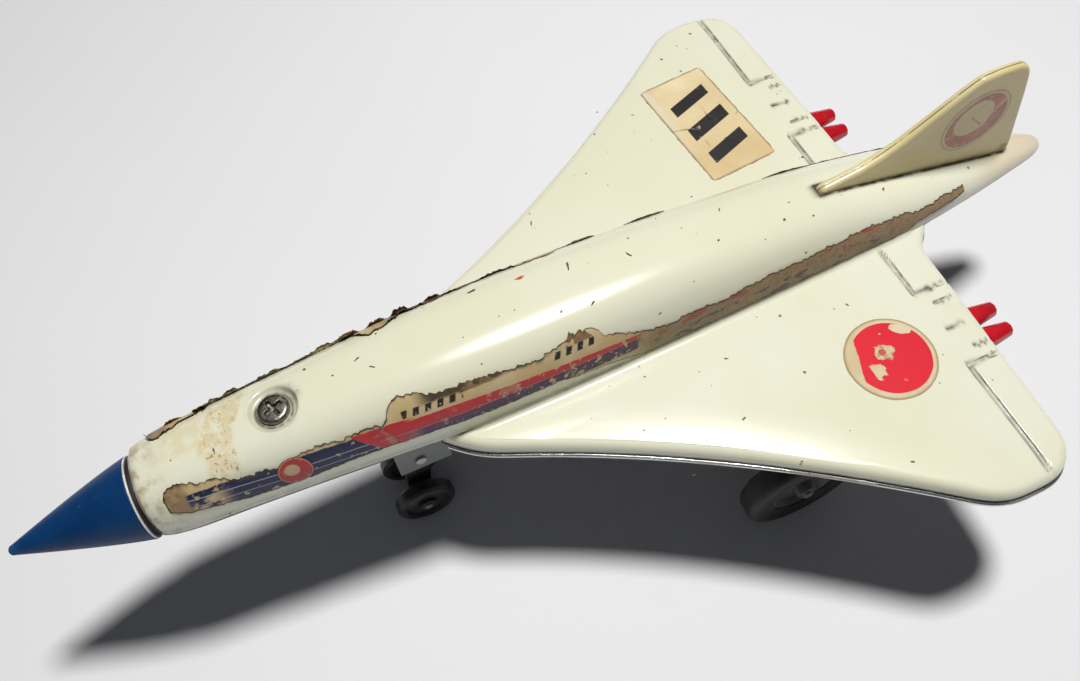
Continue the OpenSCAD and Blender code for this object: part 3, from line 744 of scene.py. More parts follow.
def blueFinish():
    f = Finish("satinBlue", (0.003, 0.036, 0.125), 0.36, Specular_IOR_Level=0.18)
    _, y, _ = f.axes()
    cloud = f.noise(60, 4, 0.6)
    colour = f.blend(cloud.rise(0.3, 0.75), (0.002, 0.032, 0.115), (0.004, 0.048, 0.16))
    rub = f.noise(210, 5, 0.65, stretch=(1, 0.5, 1)).rise(0.6, 0.74)
    colour = f.blend(rub * 0.3, colour, (0.03, 0.10, 0.25))
    tip = 1 - y.rise(-0.1516, -0.1470)
    colour = f.blend(tip * 0.55, colour, (0.03, 0.09, 0.22))
    dust = f.specks(700, 0.16, keep=0.10)
    f.set("Base Color", f.blend(dust * 0.4, colour, (0.25, 0.26, 0.28)))
    f.set("Roughness", 0.33 + cloud * 0.16 + rub * 0.1 + tip * 0.12)
    f.bump(f.noise(900, 3) * 0.35 + f.noise(90, 4), 0.3, 0.0001)
    return f


def ringFinish():
    f = Finish("noseRing", (0.74, 0.73, 0.68), 0.4)
    _, y, _ = f.axes()
    # painted shade: the ring's spigot behind its flange, tucked into the hull's rolled edge, is near black so
    # the gap reads dark
    dark = y.rise(-0.1182, -0.1180)
    colour = f.blend(f.noise(300, 4).rise(0.4, 0.7) * 0.6, (0.76, 0.75, 0.70), (0.45, 0.40, 0.30))
    f.set("Base Color", f.blend(dark, colour, (0.012, 0.012, 0.013)))
    f.set("Roughness", 0.38 + dark * 0.3)
    f.bump(f.noise(700, 3), 0.25, 0.0001)
    return f


def buildNose():
    # cone profile: radius falls from base to tip along a slightly bulged line, then a round tip
    length = nose["base"] - nose["tip"]
    t = np.linspace(0, 1, 40)
    r = nose["tipRadius"] + (nose["radius"] - nose["tipRadius"]) * (1 - t ** nose["curve"])
    h = (length - 1.15) * t
    turn = np.radians(np.linspace(15, 90, 8))
    cap = np.stack([nose["tipRadius"] * np.cos(turn), h[-1] + 1.15 * np.sin(turn)], -1)
    rim = [(0.0, 0.25), (7.5, 0.2), (nose["radius"] - 0.45, 0.0), (nose["radius"] - 0.12, 0.08),
           (nose["radius"], 0.35)]
    profile = np.concatenate([rim, np.stack([r, h + 0.02], -1)[h > 0.6], cap])
    turned("noseConeShell", profile, blueFinish(), "nose_cone")
    ring = softProfile([(7.9, 0.1), (10.95, 0.1), (10.95, -0.42), (9.75, -0.5), (9.75, -2.8), (7.9, -2.8)],
                       (0.15, 0.12, 0.05, 0, 0), 4)
    ring = np.concatenate([ring, ring[:1]])
    turned("noseRingShell", ring, ringFinish(), "nose_collar")


buildNose()
print("nose")

# fin
fin = {"half": 1.7, "edge": 0.16, "round": 1.55, "square": 2.5,
       "front": [(70.9, 13.0), (70.9, 16.0), (72.2, 17.6), (77, 18.4), (84, 19.6), (90, 21.9), (95, 24.5),
                 (100, 27.9), (105, 31.4), (111, 35.4), (115.2, 37.8)],
       "rear": [(138.2, -1.6), (137.2, 5), (135, 16), (133, 26), (131.2, 33.6), (129.7, 36.2), (127.6, 37.5)]}


def finFinish():
    f = Finish("yellowedPlastic", (0.64, 0.54, 0.29), 0.3, coat=0.15, Coat_Roughness=0.15)
    x, y, z = f.axes()
    cloud = f.noise(26, 4, 0.6)
    colour = f.blend(cloud.rise(0.3, 0.72), (0.62, 0.51, 0.225), (0.72, 0.61, 0.31))
    top = (z - 0.5 * y).rise(0.030, 0.045)
    colour = f.blend(top * 0.45, colour, (0.74, 0.66, 0.42))
    seam = 1 - abs(x).rise(0.00008, 0.00026)
    seam = seam * f.noise(180, 4, 0.6).rise(0.33, 0.5)
    colour = f.blend(seam * 0.85, colour, (0.11, 0.075, 0.035))
    # darker at the fin's foot: dirt and painted shade in the crease
    root = f.mask("grimeAndShade") * f.noise(300, 5, 0.62).rise(0.3, 0.6)
    colour = f.blend(root * 0.9, colour, (0.13, 0.075, 0.03))
    streak = f.noise(40, 5, 0.6, stretch=(1, 0.6, 2.5), turn=(0.45, 0, 0)).rise(0.55, 0.75)
    colour = f.blend(streak * 0.25, colour, (0.42, 0.33, 0.17))
    speck = f.specks(520, 0.15, keep=0.06)
    f.set("Base Color", f.blend(speck * 0.7, colour, (0.12, 0.07, 0.03)))
    f.set("Roughness", 0.27 + cloud * 0.14 + root * 0.3)
    f.bump(f.noise(120, 4) + f.noise(900, 2) * 0.3 - seam * 1.2, 0.3, 0.00012)
    return f


yellowedPlastic = finFinish()


def finEdges():
    # the fin's leading and rear edges as smooth even paths
    return [smoothPath(evenPath(fin[edge], 0.4), 10) for edge in ("front", "rear")]


def finThickness(y, z, edgeLine):
    # pillow section: full thickness inside, falling on a rounded curve to the outline
    far = np.full(y.shape, 1e9)
    for (y0, z0), (y1, z1) in zip(edgeLine[:-1], edgeLine[1:]):
        far = np.minimum(far, segmentFar(y, z, y0, z0, y1, z1))
    t = np.clip(far / fin["round"], 0, 1)
    bulge = (1 - (1 - t) ** fin["square"]) ** (1 / fin["square"])
    lean = 1 - 0.16 * np.clip((z - 8) / 30, 0, 1)
    return fin["edge"] + (fin["half"] * lean - fin["edge"]) * bulge


def buildFin(side, name, node):
    # a patch between the leading edge and the rear edge, closed by a flat inner face
    left, right = finEdges()
    rows, columns = 96, 84
    ease = lambda n: (1 - np.cos(np.linspace(0, np.pi, n))) / 2
    v = ease(rows) * 0.6 + np.linspace(0, 1, rows) * 0.4
    u = ease(columns) * 0.7 + np.linspace(0, 1, columns) * 0.3
    frontLine, rearLine = pointsAt(left, v * (len(left) - 1)), pointsAt(right, v * (len(right) - 1))
    patch = (1 - u)[None, :, None] * frontLine[:, None] + u[None, :, None] * rearLine[:, None]
    # the top edge bulges a little between its two corners
    patch[..., 1] += 0.45 * np.sin(np.pi * u)[None, :] * v[:, None] ** 6
    top = patch[-1]
    edgeLine = np.concatenate([left, top[::4], right[::-1]])
    edgeLine = edgeLine[edgeLine[:, 1] > -1.4]
    y, z = patch[..., 0], patch[..., 1]
    outer = np.stack([side * finThickness(y, z, edgeLine), y, z], -1)
    middle = np.array([112.0, 16.0])
    flat = patch + (middle - patch) * 0.004
    inner = np.stack([0 * y, flat[..., 0], flat[..., 1]], -1)[:, ::-1]
    ring = np.concatenate([outer, inner], 1)
    n = ring.shape[1]
    points = flatten(ring)
    faces = [list(q) for q in gridFaces(rows, n, wrap=True)]
    for row in (0, rows - 1):
        a = row * n
        for k in range(columns - 1):
            faces.append([a + k, a + k + 1, a + n - 2 - k, a + n - 1 - k])
    hullTop = alongHull(points[:, 1].clip(-116, 151), 2)
    # the fin's foot is darker where it meets the hull: dirt and painted shade in the crease; glue at the rear
    grimeAndShade = np.exp(-((points[:, 2] - hullTop) / 0.7) ** 2)
    glue = np.exp(-((points[:, 1] - 136.2) / 2.6) ** 2) * (points[:, 2] < hullTop + 3.4)
    makePiece(name, points, faces, "airframe", yellowedPlastic,
              masks={"grimeAndShade": np.maximum(grimeAndShade * 0.9, glue * 0.9)}, replaces=(node,), sharp=35)


buildFin(1, "finPortHalf", "fin_left")
buildFin(-1, "finStarboardHalf", "fin_right")
print("fin")

# nozzles and engine pods
nozzle = {"start": 91.0, "shoulder": 96.5, "straight": 8.2, "end": 112.85, "root": 2.45, "radius": 3.4,
          "endRadius": 2.15, "flats": 0.035}


def redFinish():
    f = Finish("glossyRed", (0.50, 0.008, 0.018), 0.16, coat=0.4, Coat_Roughness=0.06)
    cloud = f.noise(150, 4)
    colour = f.blend(cloud.rise(0.3, 0.7), (0.46, 0.006, 0.014), (0.56, 0.012, 0.022))
    worn = f.noise(420, 5, 0.6).rise(0.62, 0.7)
    f.set("Base Color", f.blend(worn * 0.5, colour, (0.16, 0.004, 0.008)))
    f.set("Roughness", 0.14 + cloud * 0.1 + worn * 0.25)
    f.bump(f.noise(500, 3), 0.25, 0.0001)
    return f


glossyRed = redFinish()


def buildNozzle(node):
    # eight soft flats: the radius swells and shrinks with the angle, more towards the end
    x, _, height = nodeMiddle(node)
    s, e, root = nozzle["shoulder"], nozzle["end"], nozzle["root"]
    line = softProfile([(0, nozzle["start"]), (root, nozzle["start"]), (root, s - 0.4), (nozzle["radius"], s),
                        (nozzle["radius"], s + nozzle["straight"]), (nozzle["endRadius"], e), (0, e)],
                       (0.3, 0.2, 0.35, 1.2, 0.95), 8)
    segments = 64
    ring = revolve(line, segments)
    angle = np.arctan2(ring[..., 1], ring[..., 0])
    share = np.clip((ring[..., 2] - s) / (e - s), 0, 1)
    flats = 1 - nozzle["flats"] * share * np.abs(np.sin(angle * 4)) ** 3
    points = flatten(np.stack([x + ring[..., 0] * flats, ring[..., 2], height + ring[..., 1] * flats], -1))
    makePiece(node.title().replace("_", "") + "Cap", points, gridFaces(len(line), segments, wrap=True),
              "airframe", glossyRed, replaces=(node,), sharp=50)


for node in ("nozzle_left_outer", "nozzle_left_inner", "nozzle_right_inner", "nozzle_right_outer"):
    buildNozzle(node)

pod = {"halfWidth": 9.5, "front": 61.2, "flat": 71.0, "rear": 96.3, "top": -5.45, "depth": 15.0, "square": 7,
       "edge": 0.9}


def tinFinish(name, colour, roughness, dirt=0.5, metallic=0.85):
    f = Finish(name, colour, roughness, metallic=metallic)
    cloud = f.noise(45, 5, 0.6)
    dull = cloud.rise(0.42, 0.7)
    darker = tuple(c * 0.45 for c in colour)
    base = f.blend(dull * dirt, colour, darker)
    rust = f.noise(130, 5, 0.65).rise(0.62, 0.72)
    base = f.blend(rust * dirt * 0.6, base, (0.14, 0.07, 0.03))
    scratch = f.noise(70, 2, 0.4, stretch=(1, 14, 1), turn=(0, 0, 0.3)).inside(0.498, 0.502, 0.002)
    f.set("Base Color", f.blend(scratch * 0.3, base, tuple(min(1, c * 1.5) for c in colour)))
    f.set("Roughness", roughness + dull * 0.22 + rust * 0.2)
    f.set("Metallic", metallic - rust * 0.6)
    f.bump(cloud + f.noise(500, 3) * 0.4, 0.3, 0.00015)
    return f


platedTin = tinFinish("platedTin", (0.50, 0.51, 0.52), 0.34)


def buildPod(name, node):
    # rounded box section (superellipse) lofted along y, with a slope in front and a closed flat rear
    square, straight = pod["square"], pod["rear"] - pod["edge"]
    y = np.concatenate([[pod["front"]], np.linspace(pod["front"] + 0.3, pod["flat"], 12),
                        np.linspace(pod["flat"] + 1.2, straight, 20),
                        straight + np.array([0.35, 0.65, pod["edge"]])])
    slope = np.clip((y - pod["front"]) / (pod["flat"] - pod["front"]), 0.02, 1)
    depth = pod["depth"] * np.minimum(1, slope * 1.02 - 0.02 * slope ** 6)
    shrink = np.zeros_like(y)
    shrink[-3:] = (0.2, 0.5, 1.0)
    t = np.radians(np.linspace(0, 180, 41))
    reach = (np.abs(np.cos(t)) ** square + np.abs(np.sin(t)) ** square) ** (-1 / square)
    x = (pod["halfWidth"] - shrink[:, None]) * reach * np.cos(t)
    z = pod["top"] - (depth[:, None] - shrink[:, None]) * reach * np.sin(t)
    loft = np.stack([nodeMiddle(node)[0] + x, y[:, None] + 0 * x, z], -1)
    n = loft.shape[1]
    faces = [list(q) for q in gridFaces(len(y), n)]
    last = (len(y) - 1) * n
    for k in range(n // 2):
        faces.append([last + k, last + k + 1, last + n - 2 - k, last + n - 1 - k])
        faces.append([k, k + 1, n - 2 - k, n - 1 - k])
    for row in range(len(y) - 1):
        faces.append([row * n, (row + 1) * n, (row + 1) * n + n - 1, row * n + n - 1])
    makePiece(name, flatten(loft), faces, "airframe", platedTin, replaces=(node,), sharp=40)


buildPod("portPodShell", "engine_pod_left")
buildPod("starboardPodShell", "engine_pod_right")
print("engines")

# screw
screw = {"radius": 4.0, "height": 1.7, "crossHalf": 0.42, "crossReach": 2.3, "crossDepth": 1.3,
         "turn": 24.0}


def screwFinish():
    f = Finish("tarnishedSteelWithShade", (0.26, 0.25, 0.22), 0.42, metallic=1.0)
    _, _, z = f.axes()
    cloud = f.noise(420, 5, 0.62)
    spotty = f.noise(900, 4, 0.6).rise(0.5, 0.66)
    colour = f.blend(cloud.rise(0.35, 0.68), (0.33, 0.32, 0.28), (0.13, 0.12, 0.10))
    colour = f.blend(spotty * 0.6, colour, (0.10, 0.08, 0.055))
    # painted shade: darker below the head's rim height, in the cross's floor and on the skirt
    deep = 1 - z.rise(0.0785, 0.0797)
    f.set("Base Color", f.blend(deep * 0.7, colour, (0.04, 0.033, 0.025)))
    f.set("Roughness", 0.34 + spotty * 0.3 + deep * 0.2)
    f.set("Metallic", 1 - spotty * 0.6)
    f.bump(cloud + f.noise(1500, 3) * 0.3, 0.5, 0.00015)
    return f


def buildScrew():
    # polar height field: a domed pan head, with a cross pressed into its middle
    r = np.concatenate([np.linspace(0, 3.5, 44), np.linspace(3.6, 4.0, 6)])
    t = np.linspace(0, 2 * np.pi, 144, endpoint=False)
    reach, spin = np.meshgrid(r, t, indexing="ij")
    edge = np.clip((reach - 2.9) / 1.1, 0, 1)
    z = screw["height"] - 0.12 * (reach / 3) ** 2 - (1 - np.sqrt(1 - np.minimum(edge, 0.999) ** 2)) * 0.75
    turn = math.radians(screw["turn"])
    x, y = reach * np.cos(spin), reach * np.sin(spin)
    a, b = x * math.cos(turn) + y * math.sin(turn), -x * math.sin(turn) + y * math.cos(turn)
    arm = np.minimum(np.maximum(np.abs(a) - screw["crossHalf"], (np.abs(b) - screw["crossReach"]) * 0.7),
                     np.maximum(np.abs(b) - screw["crossHalf"], (np.abs(a) - screw["crossReach"]) * 0.7))
    middle = np.hypot(a, b) - 0.95
    cross = np.clip(0.5 - np.minimum(arm, middle) / 0.3, 0, 1)
    z = z - screw["crossDepth"] * cross * (1 - 0.35 * np.clip(reach / screw["crossReach"], 0, 1))
    top = np.stack([x, y, z], -1)
    circle = screw["radius"] * np.stack([np.cos(t), np.sin(t)], -1)
    skirt = np.stack([np.concatenate([circle * q, 0 * t[:, None] + h], -1)
                      for q, h in ((1.0, 0.55), (0.985, 0.25), (0.985, -0.3), (0.0, -0.3))])
    grid = np.concatenate([top, skirt])
    points = flatten(grid) + (0, hull["screwY"], hull["dimpleFloor"])
    makePiece("screwHead", points, gridFaces(grid.shape[0], len(t), wrap=True), "airframe",
              screwFinish(), replaces=("top_screw",), sharp=45)


buildScrew()
print("screw")

# side stripes

# edges of the torn stripe: y, height over the skin from the lip
stripeTop = np.array([
    (-111, 12.5), (-110, 15.5), (-108, 16.5), (-103, 15), (-98, 14.5), (-94, 13), (-88, 12.5), (-84, 12),
    (-76, 14), (-66, 14), (-57, 14.5), (-55, 17.5), (-52.5, 19.5), (-49, 19.5), (-45, 18), (-38, 17.2),
    (-32, 17.2), (-22, 16), (-16, 16), (-10, 17), (-3, 18), (-0.5, 17.5), (1, 14.8), (8, 12.3), (15, 9.5),
    (21, 9.2), (27, 9.6), (36, 8.6), (46, 9.8), (60, 9.6), (73, 9.7), (80, 9.8), (89, 8.8), (95, 7.8),
    (101, 6.6), (107, 7.1), (116, 6.4)])
stripeLow = np.array([
    (-111, 9.5), (-107, 7.6), (-99, 6.4), (-92, 5), (-78, 4.8), (-71, 5.5), (-63, 6.1), (-45, 6),
    (-34, 5.4), (-23, 5.5), (-13, 5.8), (-6, 4.4), (5, 3.2), (12, 1), (95, 1), (98, 3.2), (107, 3.8),
    (116, 4.2)])
stripe = {"lift": 0.16, "wall": 0.12, "farExtra": 1.5, "uvScale": 100.0,
          "tan": (0.52, 0.38, 0.18), "bare": (0.27, 0.18, 0.085), "navy": (0.008, 0.011, 0.055),
          "red": (0.52, 0.010, 0.018), "purple": (0.115, 0.022, 0.085), "edge": (0.055, 0.028, 0.012)}


def stripeFinish():
    # colours follow the sheet: u is the place along the body and v the height, both in mm / uvScale
    f = Finish("wornStripe", stripe["tan"], 0.5)
    y, h = f.flat(stripe["uvScale"])
    edge = f.mask("edge")
    n1 = f.noise(420, 5, 0.62)
    n2 = f.noise(130, 4, 0.6)
    n3 = f.noise(900, 4, 0.6)
    wob = (n1 - 0.5) * 2.2 + (n2 - 0.5) * 1.6
    # bands: navy in front, then red over purple; a thin light line parts the navy
    paper = f.blend(n2.rise(0.35, 0.7), stripe["tan"], (0.58, 0.46, 0.27))
    bare = f.blend(n1.rise(0.35, 0.65), stripe["bare"], (0.33, 0.23, 0.12))
    bare = f.blend(n3.rise(0.52, 0.66) * 0.5, bare, (0.12, 0.07, 0.03))
    line = 9.6 + (0 - y - 78).most(0.0) * 0.055
    navyTop = (h - wob * 0.5).inside(4.0, 12.9, 0.25)
    navy = navyTop * (1 - (y + (h - 9.8) * 0.9).rise(-62.6, -62.3)) * y.rise(-106.5, -105.5)
    lines = (h - line).inside(-0.14, 0.14, 0.07).most((h - line + 2.25).inside(-0.1, 0.1, 0.06))
    red = (h - wob * 0.22).inside(9.1, 12.6, 0.12) * (1 - (h - 12.6 + (y + 40) * 0.045).rise(-0.1, 0.1))
    redFront = (1 - y.rise(-53, -49)) * (h - wob * 0.2).inside(5.4, 13.4, 0.2)
    redZone = (y + (h - 9.8) * 0.9).rise(-62.6, -62.3) * (1 - (y + wob * 2.5).rise(9.0, 12.5))
    purple = (h - wob * 0.25).inside(5.0, 9.1, 0.2) * y.rise(-55, -48)
    worn = n1.rise(0.56, 0.60) * y.rise(-50, -12) + n2.rise(0.60, 0.66) * 0.35
    colour = f.blend(y.rise(6, 16).most(1 - y.rise(-106.5, -104.5)), paper, bare)
    navyWorn = n1.rise(0.60, 0.64) * 0.8 + (1 - y.rise(-101, -95)) * n2.rise(0.45, 0.55)
    colour = f.blend((navy * (1 - navyWorn.least(1.0))), colour, stripe["navy"])
    colour = f.blend(navy * lines * 0.65, colour, (0.50, 0.52, 0.60))
    redAll = (red.most(redFront) * redZone * (1 - worn * 0.85)).most(0.0).least(1.0)
    colour = f.blend(redAll, colour, f.blend(n2.rise(0.4, 0.7) * 0.5, stripe["red"], (0.30, 0.02, 0.03)))
    blueEdge = (1 - (h - wob * 0.3).rise(6.6, 7.6)) * 0.8
    low = f.blend(blueEdge.most(y.rise(-44, -20) * 0.5), stripe["purple"], (0.02, 0.015, 0.075))
    purpleLeft = (purple * redZone * (1 - (worn * 1.3).least(1.0))).most(0.0)
    colour = f.blend(purpleLeft, colour, low)
    fine = (h - 9.1 + wob * 0.05).inside(-0.13, 0.13, 0.06) * redZone * n3.rise(0.35, 0.55)
    colour = f.blend(fine * 0.5, colour, (0.5, 0.3, 0.3))
    # left-over specks of print on the bare length behind
    behind = y.inside(14, 84, 2.0)
    left = f.noise(300, 4, 0.55, stretch=(1, 0.45, 1))
    redLeft = behind * left.rise(0.545, 0.57) * (h - 5.6).rise(-0.2, 0.3) * 0.85
    darkLeft = behind * (1 - left.rise(0.42, 0.45)) * (1 - (h - 5.8).rise(-0.3, 0.3)) * 0.85
    colour = f.blend(redLeft, colour, (0.36, 0.05, 0.045))
    colour = f.blend(darkLeft, colour, (0.06, 0.02, 0.07))
    # plain dark marks in a row on the paper over the red, where the print is left
    slant = ((y + 100 + (h - 14.6) * -0.35) / 3.1).join("FRACT")
    marks = slant.inside(0.24, 0.74, 0.05) * (h - 14.6).inside(-1.05, 1.05, 0.12)
    placeMarks = y.inside(-52.5, -37.0, 0.3).most(y.inside(-13.5, -1.5, 0.3))
    colour = f.blend(marks * placeMarks * (1 - n3.rise(0.60, 0.66)), colour, (0.012, 0.011, 0.012))
    # torn, dirty edges and the dark layer left along the top
    tornTop = y.inside(-47, -14, 3) * (h - wob * 0.8).rise(15.0, 16.2)
    black = n2.rise(0.50, 0.56) * (1 - y.rise(-104.5, -101)) * (h - 9.5).inside(0.6, 4.2, 0.5)
    dirt = (edge * (0.4 + n1) * 1.15).rise(0.48, 0.95)
    colour = f.blend(dirt.most(tornTop * 0.95).most(black).least(1.0), colour, stripe["edge"])
    f.set("Base Color", colour)
    f.set("Roughness", (0.36 + n1 * 0.25 + dirt * 0.3 - redAll * 0.12).least(0.95))
    f.bump(n1 * 1.2 + n3 * 0.7 + redAll * 1.3 + purpleLeft * 1.3 + navy * 1.0, 0.5, 0.00018)
    return f


wornStripe = stripeFinish()


def buildStripe(side, name, extra):
    # sheet between the torn edges, laid on the skin; its top edge curls up a little in places
    y = np.arange(-111, 116.01, 0.45)
    seed = 11 if side > 0 else 29
    top = np.interp(y, *stripeTop.T) + ripple(seed, y, (9, 2.6, 1.3), (0.3, 0.22, 0.14))
    top = top + extra * np.clip((10 - y) / 30, 0, 1)
    low = np.interp(y, *stripeLow.T) + ripple(seed + 1, y, (8, 2.3), (0.12, 0.12))
    t = np.linspace(0, 1, 26)
    height = low[:, None] + (top - low)[:, None] * t
    curl = np.clip(ripple(seed + 2, y, (17, 6, 2.2), (0.5, 0.4, 0.2)) + 0.15, 0, 1.0)
    curl = curl * np.clip((5 - y) / 20, 0.12, 1)
    if side < 0:
        curl = curl + 0.35 * np.clip((-32 - y) / 8, 0, 1)
    lift = stripe["lift"] + curl[:, None] * np.clip((t - 0.84) / 0.16, 0, 1) ** 1.5
    lift = lift + 0.10 * np.clip(ripple(seed + 5, y, (5, 1.7), (0.5, 0.5)), 0, 1)[:, None]
    sheet = hullAt(np.repeat(y[:, None], len(t), 1), height, lift, side)
    down = np.minimum(t * (top - low)[:, None], (1 - t) * (top - low)[:, None])
    ends = np.minimum(y + 111, 116 - y)[:, None]
    edge = np.exp(-(np.minimum(down, ends) / 0.55) ** 2)
    underTop = (1 - t) * (top - low)[:, None]
    edge = np.maximum(edge, 0.75 * np.exp(-(underTop / 1.3) ** 2) * (y < -12)[:, None])
    uv = np.stack([np.repeat(y[:, None], len(t), 1), height], -1) / stripe["uvScale"]
    faces = gridFaces(len(y), len(t))
    if side > 0:
        faces = faces[:, ::-1]
    makePiece(name, flatten(sheet), faces, "airframe", wornStripe, uv=flatten(uv),
              masks={"edge": edge.ravel()}, wall=stripe["wall"], outward=False, sharp=60)


buildStripe(1, "portStripe", 0.0)
buildStripe(-1, "starboardStripe", stripe["farExtra"])
print("stripes")

flakes = [  # curled tabs of torn paper: side, y, width, foot height, length, lift
    (-1, -96.5, 6.0, 13.2, 3.4, 1.5), (-1, -89.5, 9.0, 13.4, 1.6, 0.7), (-1, -79.0, 8.0, 13.8, 1.4, 0.6),
    (-1, -70.0, 6.0, 14.2, 1.5, 0.5), (-1, -57.5, 7.5, 14.6, 3.2, 1.7), (-1, -49.5, 6.0, 14.8, 2.2, 1.1),
    (-1, -43.0, 5.5, 15.2, 2.4, 1.5), (-1, -34.0, 5.0, 15.2, 1.6, 0.8), (-1, -104.5, 5.0, 12.2, 1.7, 0.8),
    (-1, 8.0, 9.0, 14.6, 1.3, 0.4), (-1, 27.0, 12.0, 14.4, 1.5, 0.4), (-1, 70.0, 14.0, 11.6, 1.2, 0.3),
    (1, -6.0, 8.5, 16.6, 2.0, 0.6), (1, -33.0, 9.0, 16.2, 1.2, 0.4)
]


def paperFinish():
    f = Finish("tornPaper", (0.16, 0.10, 0.05), 0.75)
    n = f.noise(300, 5, 0.65)
    colour = f.blend(n.rise(0.35, 0.65), (0.085, 0.048, 0.022), (0.27, 0.17, 0.085))
    f.set("Base Color", f.blend(f.noise(900, 4).rise(0.6, 0.7) * 0.6, colour, (0.45, 0.36, 0.24)))
    f.set("Roughness", 0.65 + n * 0.2)
    f.bump(n + f.noise(1400, 3) * 0.4, 0.6, 0.0002)
    return f


tornPaper = paperFinish()


def buildFlakes():
    # each tab is a small sheet that leaves the skin as the square of its height, with an uneven outline
    points, faces, first = [], [], 0
    for k, (side, y0, width, foot, length, lift) in enumerate(flakes):
        u = np.linspace(-1, 1, 26)
        v = np.linspace(0, 1, 9)
        reach = (1 - np.abs(u) ** 3) * (1 + 0.45 * ripple(50 + k, u * 4, (3.1, 1.2), (0.5, 0.35)))
        y = y0 + u[:, None] * width / 2 * (1 - 0.15 * v[None, :] ** 2) + 0 * v[None, :]
        height = foot - 0.9 + v[None, :] * (0.9 + length * np.clip(reach, 0.02, 2)[:, None])
        away = 0.22 + lift * v[None, :] ** 2 * np.clip(reach, 0, 1.3)[:, None]
        sheet = hullAt(y, height, away, side)
        under = hullAt(y, height, away - 0.16, side)
        for layer, flip in ((sheet, side < 0), (under, side > 0)):
            q = gridFaces(len(u), len(v), first=first)
            faces += [list(f[::-1] if not flip else f) for f in q]
            points.append(flatten(layer))
            first += layer.shape[0] * layer.shape[1]
        a, b = first - 2 * len(u) * len(v), first - len(u) * len(v)
        border = gridBorder(len(u), len(v))
        faces += [[a + p, a + q, b + q, b + p] for p, q in zip(border, np.roll(border, -1))]
    makePiece("paperFlakes", np.concatenate(points), faces, "airframe", tornPaper, merge=False,
              sharp=60)


buildFlakes()

# chips in the enamel

# on the fuselage: y, height over the skin, length, width, turn in degrees, tone from 0 brown to 1 orange
chips = [
    (-57.2, 32.3, 1.8, 0.45, 30, 0), (-54.5, 28.8, 1.5, 0.5, 150, 0), (-69.9, 34.8, 0.9, 0.7, 0, 0),
    (-50.6, 38.4, 0.8, 0.5, 60, 0), (-24.5, 40.6, 2.2, 0.9, 12, 0), (-12.1, 38.4, 2.6, 1.0, 8, 1),
    (0.3, 35.9, 3.4, 0.5, 75, 0), (15.7, 31.7, 2.4, 0.4, 118, 0), (18.0, 36.6, 0.7, 0.5, 0, 0),
    (-6.8, 24.5, 1.2, 0.9, 50, 0), (1.4, 23.3, 1.9, 0.45, 30, 0), (38.8, 24.7, 0.8, 0.6, 0, 0),
    (16.9, 13.6, 0.9, 0.5, 20, 0), (44, 33, 1.2, 0.35, 60, 0), (58, 22, 0.9, 0.7, 0, 0),
    (66, 19.5, 0.7, 0.5, 0, 0), (62, 26, 0.6, 0.4, 0, 0), (90, 17, 1.3, 0.6, 40, 0),
    (-96, 21, 1.6, 0.35, 90, 0), (-64, 30, 0.6, 0.5, 0, 0), (-30, 20, 0.5, 0.4, 0, 0),
    (28, 40, 0.8, 0.4, 30, 0), (-40, 44, 0.9, 0.4, 0, 0)]
# on the wing: x, y, length, width, turn
wingChips = [
    (26.5, 67.5, 1.0, 0.5, 60), (27.0, 30.5, 1.3, 0.45, 30), (44.0, 26.0, 1.5, 0.45, 160),
    (52.0, 7.5, 0.6, 0.5, 0), (22.6, 9.0, 0.7, 0.4, 0), (71.5, 57.0, 1.1, 0.5, 20),
    (60.0, 33.0, 0.7, 0.4, 0), (36.0, 2.0, 0.8, 0.35, 0), (-36.0, 2.5, 2.0, 0.4, 115),
    (-39.5, 3.5, 0.6, 0.5, 0), (-58.5, 33.5, 0.7, 0.5, 0), (-66.0, 38.0, 0.8, 0.4, 0),
    (-77.0, 66.0, 1.0, 0.6, 20), (-83.0, 79.5, 0.9, 0.7, 0), (-68.0, 73.5, 0.8, 0.6, 0),
    (-22.5, 84.0, 0.9, 0.7, 0), (-24.0, 48.0, 0.6, 0.5, 0), (-80.0, 73.0, 0.5, 0.5, 0),
    (-45.5, 24.5, 0.6, 0.4, 0), (-60, 47, 0.6, 0.5, 0)]


def chipFinish():
    f = Finish("chippedSpots", (0.07, 0.035, 0.015), 0.6)
    tone = f.mask("tone")
    n = f.noise(1200, 4, 0.6)
    colour = f.blend(n.rise(0.35, 0.65), (0.045, 0.028, 0.016), (0.16, 0.085, 0.035))
    f.set("Base Color", f.blend(tone, colour, (0.50, 0.10, 0.025)))
    f.set("Roughness", 0.5 + n * 0.3)
    f.bump(n, 0.5, 0.0001)
    return f


